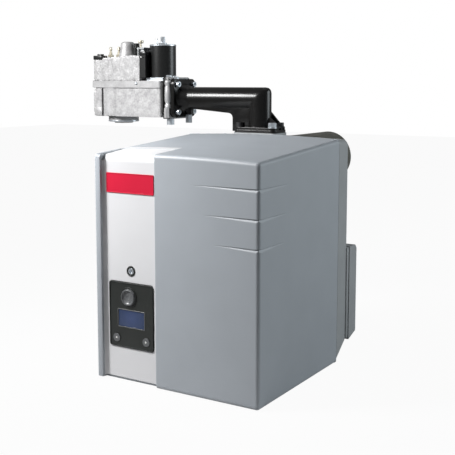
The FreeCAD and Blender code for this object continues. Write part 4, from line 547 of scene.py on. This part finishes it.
def elbow_casting():
    """The cast elbow: its bent pipe with hub and boss, web, gusset, joint plate and stepped foot."""
    low, high = (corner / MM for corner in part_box("gas_elbow"))
    radius, blunt = 20.2, 9.0
    hub_radius, hub_right = 27, PIPE_LEFT + 19
    boss_x, boss_radius, boss_bottom = -155, 8, 90
    web_half, web_left, web_end = 12, COLUMN_X - 50, COLUMN_X - 135
    gusset_half, gusset_right = 4, COLUMN_X + 40
    plate_half, plate_thick = 35, 10
    foot_left, foot_half, foot_step, foot_ledge = low.x + 129, 23, 2, 66.5
    hub = [(0, PIPE_LEFT), (hub_radius, PIPE_LEFT), (radius, hub_right), (0, hub_right)]
    boss = [(0, boss_bottom), (boss_radius, boss_bottom), (boss_radius, PIPE_Z), (0, PIPE_Z)]
    web = [(COLUMN_X, low.z + 0.2), (web_left, low.z + 0.2), (web_left, 87), (web_left - 1.5, 91.5),
           (web_left - 6, 94.6), (web_left - 12, 95.2), (web_end, 101), (web_end, PIPE_Z), (COLUMN_X, PIPE_Z)]
    gusset = [(COLUMN_X, 66), (gusset_right, 66), (gusset_right, FOOT_TOP + 1), (COLUMN_X, 104)]
    plate = rounded((GAS_Y - plate_half, PIPE_Z - plate_half), (GAS_Y + plate_half, PIPE_Z + plate_half), 10)
    foot_low = rounded((foot_left, GAS_Y - foot_half), (high.x, GAS_Y + foot_half), 8)
    foot_high = rounded((foot_left + foot_step, GAS_Y - foot_half + foot_step),
                        (high.x - foot_step, GAS_Y + foot_half - foot_step), 6)
    piece("elbow_casting", together(
        mitred_pipe(radius, blunt, PIPE_LEFT, low.z + 3),
        turned(hub, (0, GAS_Y, PIPE_Z), "X", 48),
        turned(boss, (boss_x, GAS_Y, 0)),
        bar(web, GAS_Y - web_half, GAS_Y + web_half, "Y", 0.8),
        bar(gusset, GAS_Y - gusset_half, GAS_Y + gusset_half, "Y", 0.5),
        bar(plate, low.x, low.x + plate_thick, "X", 0.5),
        bar(foot_low, low.z, foot_ledge, "Z", 0.4),
        bar(foot_high, foot_ledge - 0.1, FOOT_TOP, "Z", 0.5)), "gas_elbow", replaced=["gas_elbow"])


def elbow_details():
    """The fine rib and the front gusset of the elbow, and the bolt on its foot."""
    rib = [(-9.2, 101), (-6.6, 101), (-13.6, 69.5), (-16.2, 69.5)]
    piece("web_rib", bar(rib, -71.4, -69.6, "Y", 0.35), "gas_elbow")
    gusset = [(4, 100), (11, 98.5), (34, 74), (38.6, 72), (38.6, 64), (4, 64)]
    piece("elbow_gusset", bar(gusset, -46, -42, "Y", 0.6), "gas_elbow")
    washer = [(0, FOOT_TOP - 0.6), (8, FOOT_TOP - 0.6), (8, FOOT_TOP + 1), (0, FOOT_TOP + 1)]
    at = (*FOOT_SCREW, 0)
    head = hexagon(7.2, FOOT_TOP + 1, FOOT_TOP + 8.6, at, 0.9)
    piece("foot_bolt", together(turned(washer, at, sides=32), head), "foot_screws", "zinc_steel")


# The front: the display, the panel, the badge and the edges of the hood. The panel's face is at PANEL_Y.

PANEL_Y = -342.0


def reset_knob():
    """The reset button as a dished knob in a collar."""
    low, high = (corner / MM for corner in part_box("reset_button"))
    x, z, radius = (low.x + high.x) / 2, (low.z + high.z) / 2, (high.x - low.x) / 2
    knob = [(0, 0), (radius, 0), (radius, -8.2), (radius - 0.6, -10.0), (radius - 1.6, -11.0),
            (radius - 2.6, -10.9), (radius - 3.2, -9.8), (8.4, -8.6), (7.6, -8.9), (6.8, -8.4), (4.4, -8.0),
            (3.8, -8.3), (3.2, -7.9), (0, -7.8)]
    piece("reset_knob", turned(knob, (x, high.y, z), "Y", 64), "reset_button", replaced=["reset_button"])
    collar = [(radius + 0.6, 0), (radius + 2.6, 0), (radius + 2.2, -1.4), (radius + 0.6, -1.6)]
    piece("knob_collar", turned(collar, (x, PANEL_Y - 0.6, z), "Y", 64, ring=True), "display_bezel")


def display_details():
    """The frames of the display and its window, and the arrow marks of the two keys."""
    low, high = (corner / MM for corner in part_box("lcd_window"))
    rim = 0.8
    piece("lcd_frame", frame_bar((low.x - rim, low.z - rim), (high.x + rim, high.z + rim), 1.2,
                                 PANEL_Y - 1.5, PANEL_Y - 0.4), "display_bezel", "key_grey")
    for node, lean in (("left_key", -1), ("right_key", 1)):
        low, high = (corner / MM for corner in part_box(node))
        x, z = (low.x + high.x) / 2, (low.z + high.z) / 2
        mark = [(x + lean * 2.0, z), (x - lean * 1.5, z + 2.0), (x - lean * 1.5, z - 2.0)]
        piece(node + "_mark", bar(mark, low.y - 0.25, low.y + 0.4, "Y", 0.15), node, "dial_white")
    low, high = (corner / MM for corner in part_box("display_bezel"))
    piece("bezel_lip", frame_bar((low.x, low.z), (high.x, high.z), 1.6, PANEL_Y - 1.9, PANEL_Y - 0.6, 4.0),
          "display_bezel")


def front_details():
    """The cup round the hood's screw and the raised rim of the badge."""
    low, high = (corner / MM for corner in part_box("hood_screw"))
    x, z = (low.x + high.x) / 2, (low.z + high.z) / 2
    cup = [(5.2, 0), (8.6, 0), (8.2, -0.9), (5.6, -0.7)]
    piece("screw_cup", turned(cup, (x, PANEL_Y + 0.2, z), "Y", 48, ring=True), "front_panel", "display_black")
    low, high = (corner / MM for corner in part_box("badge_plate"))
    piece("badge_rim", frame_bar((low.x, low.z), (high.x, high.z), 1.2, PANEL_Y - 1.4, PANEL_Y - 0.6),
          "badge_plate")


def hood_top(x, y):
    """The height of the hood's top, which rises to the rear and is crowned from side to side."""
    height, from_y, slope = 47.4, -270, 0.07
    middle_x, crown = 13, 0.000173
    return height + slope * (y - from_y) - crown * (x - middle_x) ** 2


def hood_bead():
    """The flat pale edge left of the white panel, up the front and back over the top."""
    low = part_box("hood")[0] / MM
    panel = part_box("front_panel")[0].x / MM
    bend, rear_y = 6, -286
    middle_x = low.x + 4
    rise = hood_top(middle_x, low.y + bend)
    bent = arc((low.y + bend, rise - bend), (bend, bend), 180, 90, 6)
    outer = [(low.y, low.z + 1), *bent, (rear_y, hood_top(middle_x, rear_y) + 0.15)]
    inner = [(rear_y, 34), (-333, 31), (-340, 26), (-340, low.z + 1)]
    piece("hood_bead", bar(outer + inner, low.x + 1.6, panel + 0.7, "X", 1.4), "hood")


def panel_tongue():
    """The white panel's tongue, which lies in the top's recess and ends thin on the hood."""
    low, high = (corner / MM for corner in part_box("front_panel"))
    # Each row's place, the height of the panel's own bend there, how far it has gone over to
    # following the hood's top, and how high it lies above that top.
    rows = ((-339.5, 33.9, 0, 0), (-337, 36.1, 0, 0), (-334, 37.5, 0, 0), (-330, 38.2, 0.1, -1.8),
            (-322, 38.4, 0.5, -1.4), (-312, 38.5, 1, -1.2), (-300, 38.5, 1, -1.0), (-291, 38.5, 1, -0.7),
            (-285, 38.5, 1, 0.35), (-275, 38.5, 1, 0.3))
    steps = 16
    thick = 1.6
    across = [low.x + (high.x - low.x) * step / steps for step in range(steps + 1)]
    form = bmesh.new()
    grid = [[form.verts.new((x, y, bend * (1 - share) + share * (hood_top(x, y) + above))) for x in across]
            for y, bend, share, above in rows]
    for near, far in zip(grid, grid[1:]):
        for step in range(steps):
            form.faces.new((near[step], near[step + 1], far[step + 1], far[step]))
    skirt = bmesh.ops.extrude_face_region(form, geom=form.faces[:])
    lower = [item for item in skirt["geom"] if isinstance(item, bmesh.types.BMVert)]
    bmesh.ops.translate(form, vec=(0, 0, -thick), verts=lower)
    bmesh.ops.recalc_face_normals(form, faces=form.faces)
    piece("panel_tongue", form, "front_panel", crease=50)


def panel_lip():
    """The panel's left margin, which slopes forward into the fold beside the hood's edge."""
    low, high = (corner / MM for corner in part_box("front_panel"))
    left, right, back = low.x + 0.2, low.x + 6.6, PANEL_Y + 0.8
    slope = [(left, PANEL_Y - 4.2), (right, PANEL_Y - 0.2), (right, back), (left, back)]
    below_bend = 9
    piece("panel_lip", bar(slope, low.z, high.z - below_bend, "Z", 0), "front_panel")


def shell_seam():
    """The narrow rib that closes the gap between the rear shell and the air box."""
    low, high = (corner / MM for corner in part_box("air_box"))
    piece("shell_seam", block((154, -42, low.z + 3), (160.6, -33, high.z - 1), 1.2), "back_shell")


def hood_rim():
    """The turned-out bead along the hood's rear edge, which follows the edge of the hood itself."""
    low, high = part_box("hood")
    thick = 0.0007
    inset = 0.0008
    edge_depth = 0.0004
    edge = [vertex.co for vertex in frame["nodes"]["hood"].data.vertices if vertex.co.y > high.y - edge_depth]
    middle = Vector(((low.x + high.x) / 2, 0, (low.z + high.z) / 2))
    rays = {}
    for point in edge:
        angle = round(math.atan2(point.z - middle.z, point.x - middle.x), 3)
        reach = math.hypot(point.x - middle.x, point.z - middle.z)
        if angle not in rays or reach > rays[angle][0]:
            rays[angle] = (reach, point)
    outline = [rays[angle][1] for angle in sorted(rays)]
    curve = bpy.data.curves.new("hood_rim", "CURVE")
    curve.dimensions = "3D"
    curve.bevel_depth = thick
    curve.bevel_resolution = 3
    line = curve.splines.new("POLY")
    line.points.add(len(outline) - 1)
    for place, point in zip(line.points, outline):
        across = min(max(point.x, low.x + thick), high.x - thick)
        place.co = (across, high.y - inset, max(point.z, low.z + thick), 1)
    line.use_cyclic_u = True
    thing = bpy.data.objects.new("hood_rim", curve)
    bpy.context.scene.collection.objects.link(thing)
    curve.materials.append(MATERIALS["hood_grey"])
    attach(thing, "hood_cover")


cast_head()
valve_body_details()
regulator()
head_top_details()
coil_details()
joint_details()
elbow_casting()
elbow_details()
reset_knob()
display_details()
front_details()
hood_bead()
panel_tongue()
panel_lip()
shell_seam()
hood_rim()


# Floor, world, lamps and camera.

FLOOR_GAP = 0.0005
FLOOR_Z = cad_box[0][2] - FLOOR_GAP
GLOSSY_SHARE = 0.15


def light_share(tree, shares):
    """How much of the plain white background a ray sees, by the kind of ray."""
    path = tree.nodes.new("ShaderNodeLightPath")
    total = None
    for kind, share in shares.items():
        part = tree.nodes.new("ShaderNodeMath")
        part.operation = "MULTIPLY"
        part.inputs[1].default_value = share
        tree.links.new(path.outputs[kind], part.inputs[0])
        if total is None:
            total = part.outputs[0]
            continue
        most = tree.nodes.new("ShaderNodeMath")
        most.operation = "MAXIMUM"
        tree.links.new(total, most.inputs[0])
        tree.links.new(part.outputs[0], most.inputs[1])
        total = most.outputs[0]
    return total


def add_floor():
    """A floor that looks white and keeps a faint shadow of the object."""
    mesh = bpy.data.meshes.new("floor")
    half = 6.0
    corners = [(x, y, FLOOR_Z) for x, y in ((-half, -half), (half, -half), (half, half), (-half, half))]
    mesh.from_pydata(corners, [], [(0, 1, 2, 3)])
    floor = bpy.data.objects.new("floor", mesh)
    bpy.context.scene.collection.objects.link(floor)
    material, tree, shader = new_material("floor_white")
    shader.inputs["Base Color"].default_value = (0.50, 0.50, 0.50, 1)
    shader.inputs["Roughness"].default_value = 0.9
    white = tree.nodes.new("ShaderNodeEmission")
    white.inputs["Strength"].default_value = 1.0
    mix = tree.nodes.new("ShaderNodeMixShader")
    output = next(item for item in tree.nodes if item.type == "OUTPUT_MATERIAL")
    share = light_share(tree, {"Is Camera Ray": 0.95, "Is Glossy Ray": GLOSSY_SHARE})
    tree.links.new(share, mix.inputs["Fac"])
    tree.links.new(shader.outputs[0], mix.inputs[1])
    tree.links.new(white.outputs[0], mix.inputs[2])
    tree.links.new(mix.outputs[0], output.inputs["Surface"])
    mesh.materials.append(material)


def set_world():
    """Soft light from all round, behind which the camera sees plain white."""
    world = bpy.data.worlds.new("studio")
    bpy.context.scene.world = world
    world.use_nodes = True
    tree = world.node_tree
    tree.nodes.clear()
    output = tree.nodes.new("ShaderNodeOutputWorld")
    lit = tree.nodes.new("ShaderNodeBackground")
    lit.inputs["Color"].default_value = (0.97, 0.985, 1.0, 1)
    lit.inputs["Strength"].default_value = 0.12
    seen = tree.nodes.new("ShaderNodeBackground")
    seen.inputs["Color"].default_value = (1, 1, 1, 1)
    seen.inputs["Strength"].default_value = 1.0
    mix = tree.nodes.new("ShaderNodeMixShader")
    share = light_share(tree, {"Is Camera Ray": 1.0, "Is Transmission Ray": 1.0,
                               "Is Glossy Ray": GLOSSY_SHARE})
    tree.links.new(share, mix.inputs["Fac"])
    tree.links.new(lit.outputs[0], mix.inputs[1])
    tree.links.new(seen.outputs[0], mix.inputs[2])
    tree.links.new(mix.outputs[0], output.inputs["Surface"])


def add_lamp(name, at, target, size, power, spread_angle=180, color=(1, 1, 1)):
    light = bpy.data.lights.new(name, "AREA")
    light.shape = "DISK"
    light.size = size
    light.energy = power
    light.color = color
    light.spread = math.radians(spread_angle)
    lamp = bpy.data.objects.new(name, light)
    lamp.location = at
    lamp.rotation_euler = (Vector(target) - Vector(at)).to_track_quat("-Z", "Y").to_euler()
    bpy.context.scene.collection.objects.link(lamp)


def add_camera():
    """The photograph's own viewpoint, solved from the hood's edges."""
    camera = bpy.data.cameras.new("camera")
    camera.sensor_width = 36.0
    camera.lens = 70.03
    camera.shift_y = -0.0934
    camera.clip_end = 50.0
    view = bpy.data.objects.new("camera", camera)
    view.location = (0.7735, -1.4195, 0.1517)
    view.rotation_euler = (math.radians(90 - 6.7), 0, math.radians(31.8))
    bpy.context.scene.collection.objects.link(view)
    bpy.context.scene.camera = view


add_floor()
set_world()
add_lamp("key", (-0.63, -0.87, 0.60), (-0.25, -0.35, 0.10), 0.36, 5.3, 82)
add_lamp("side", (2.0, 1.2, 0.6), (0.1, -0.2, -0.1), 1.4, 29, color=(0.88, 0.96, 1.0))
add_lamp("top", (0.1, 0.5, 2.1), (0.0, -0.2, 0.0), 1.6, 3)
add_camera()
bpy.context.scene.view_settings.view_transform = "Standard"
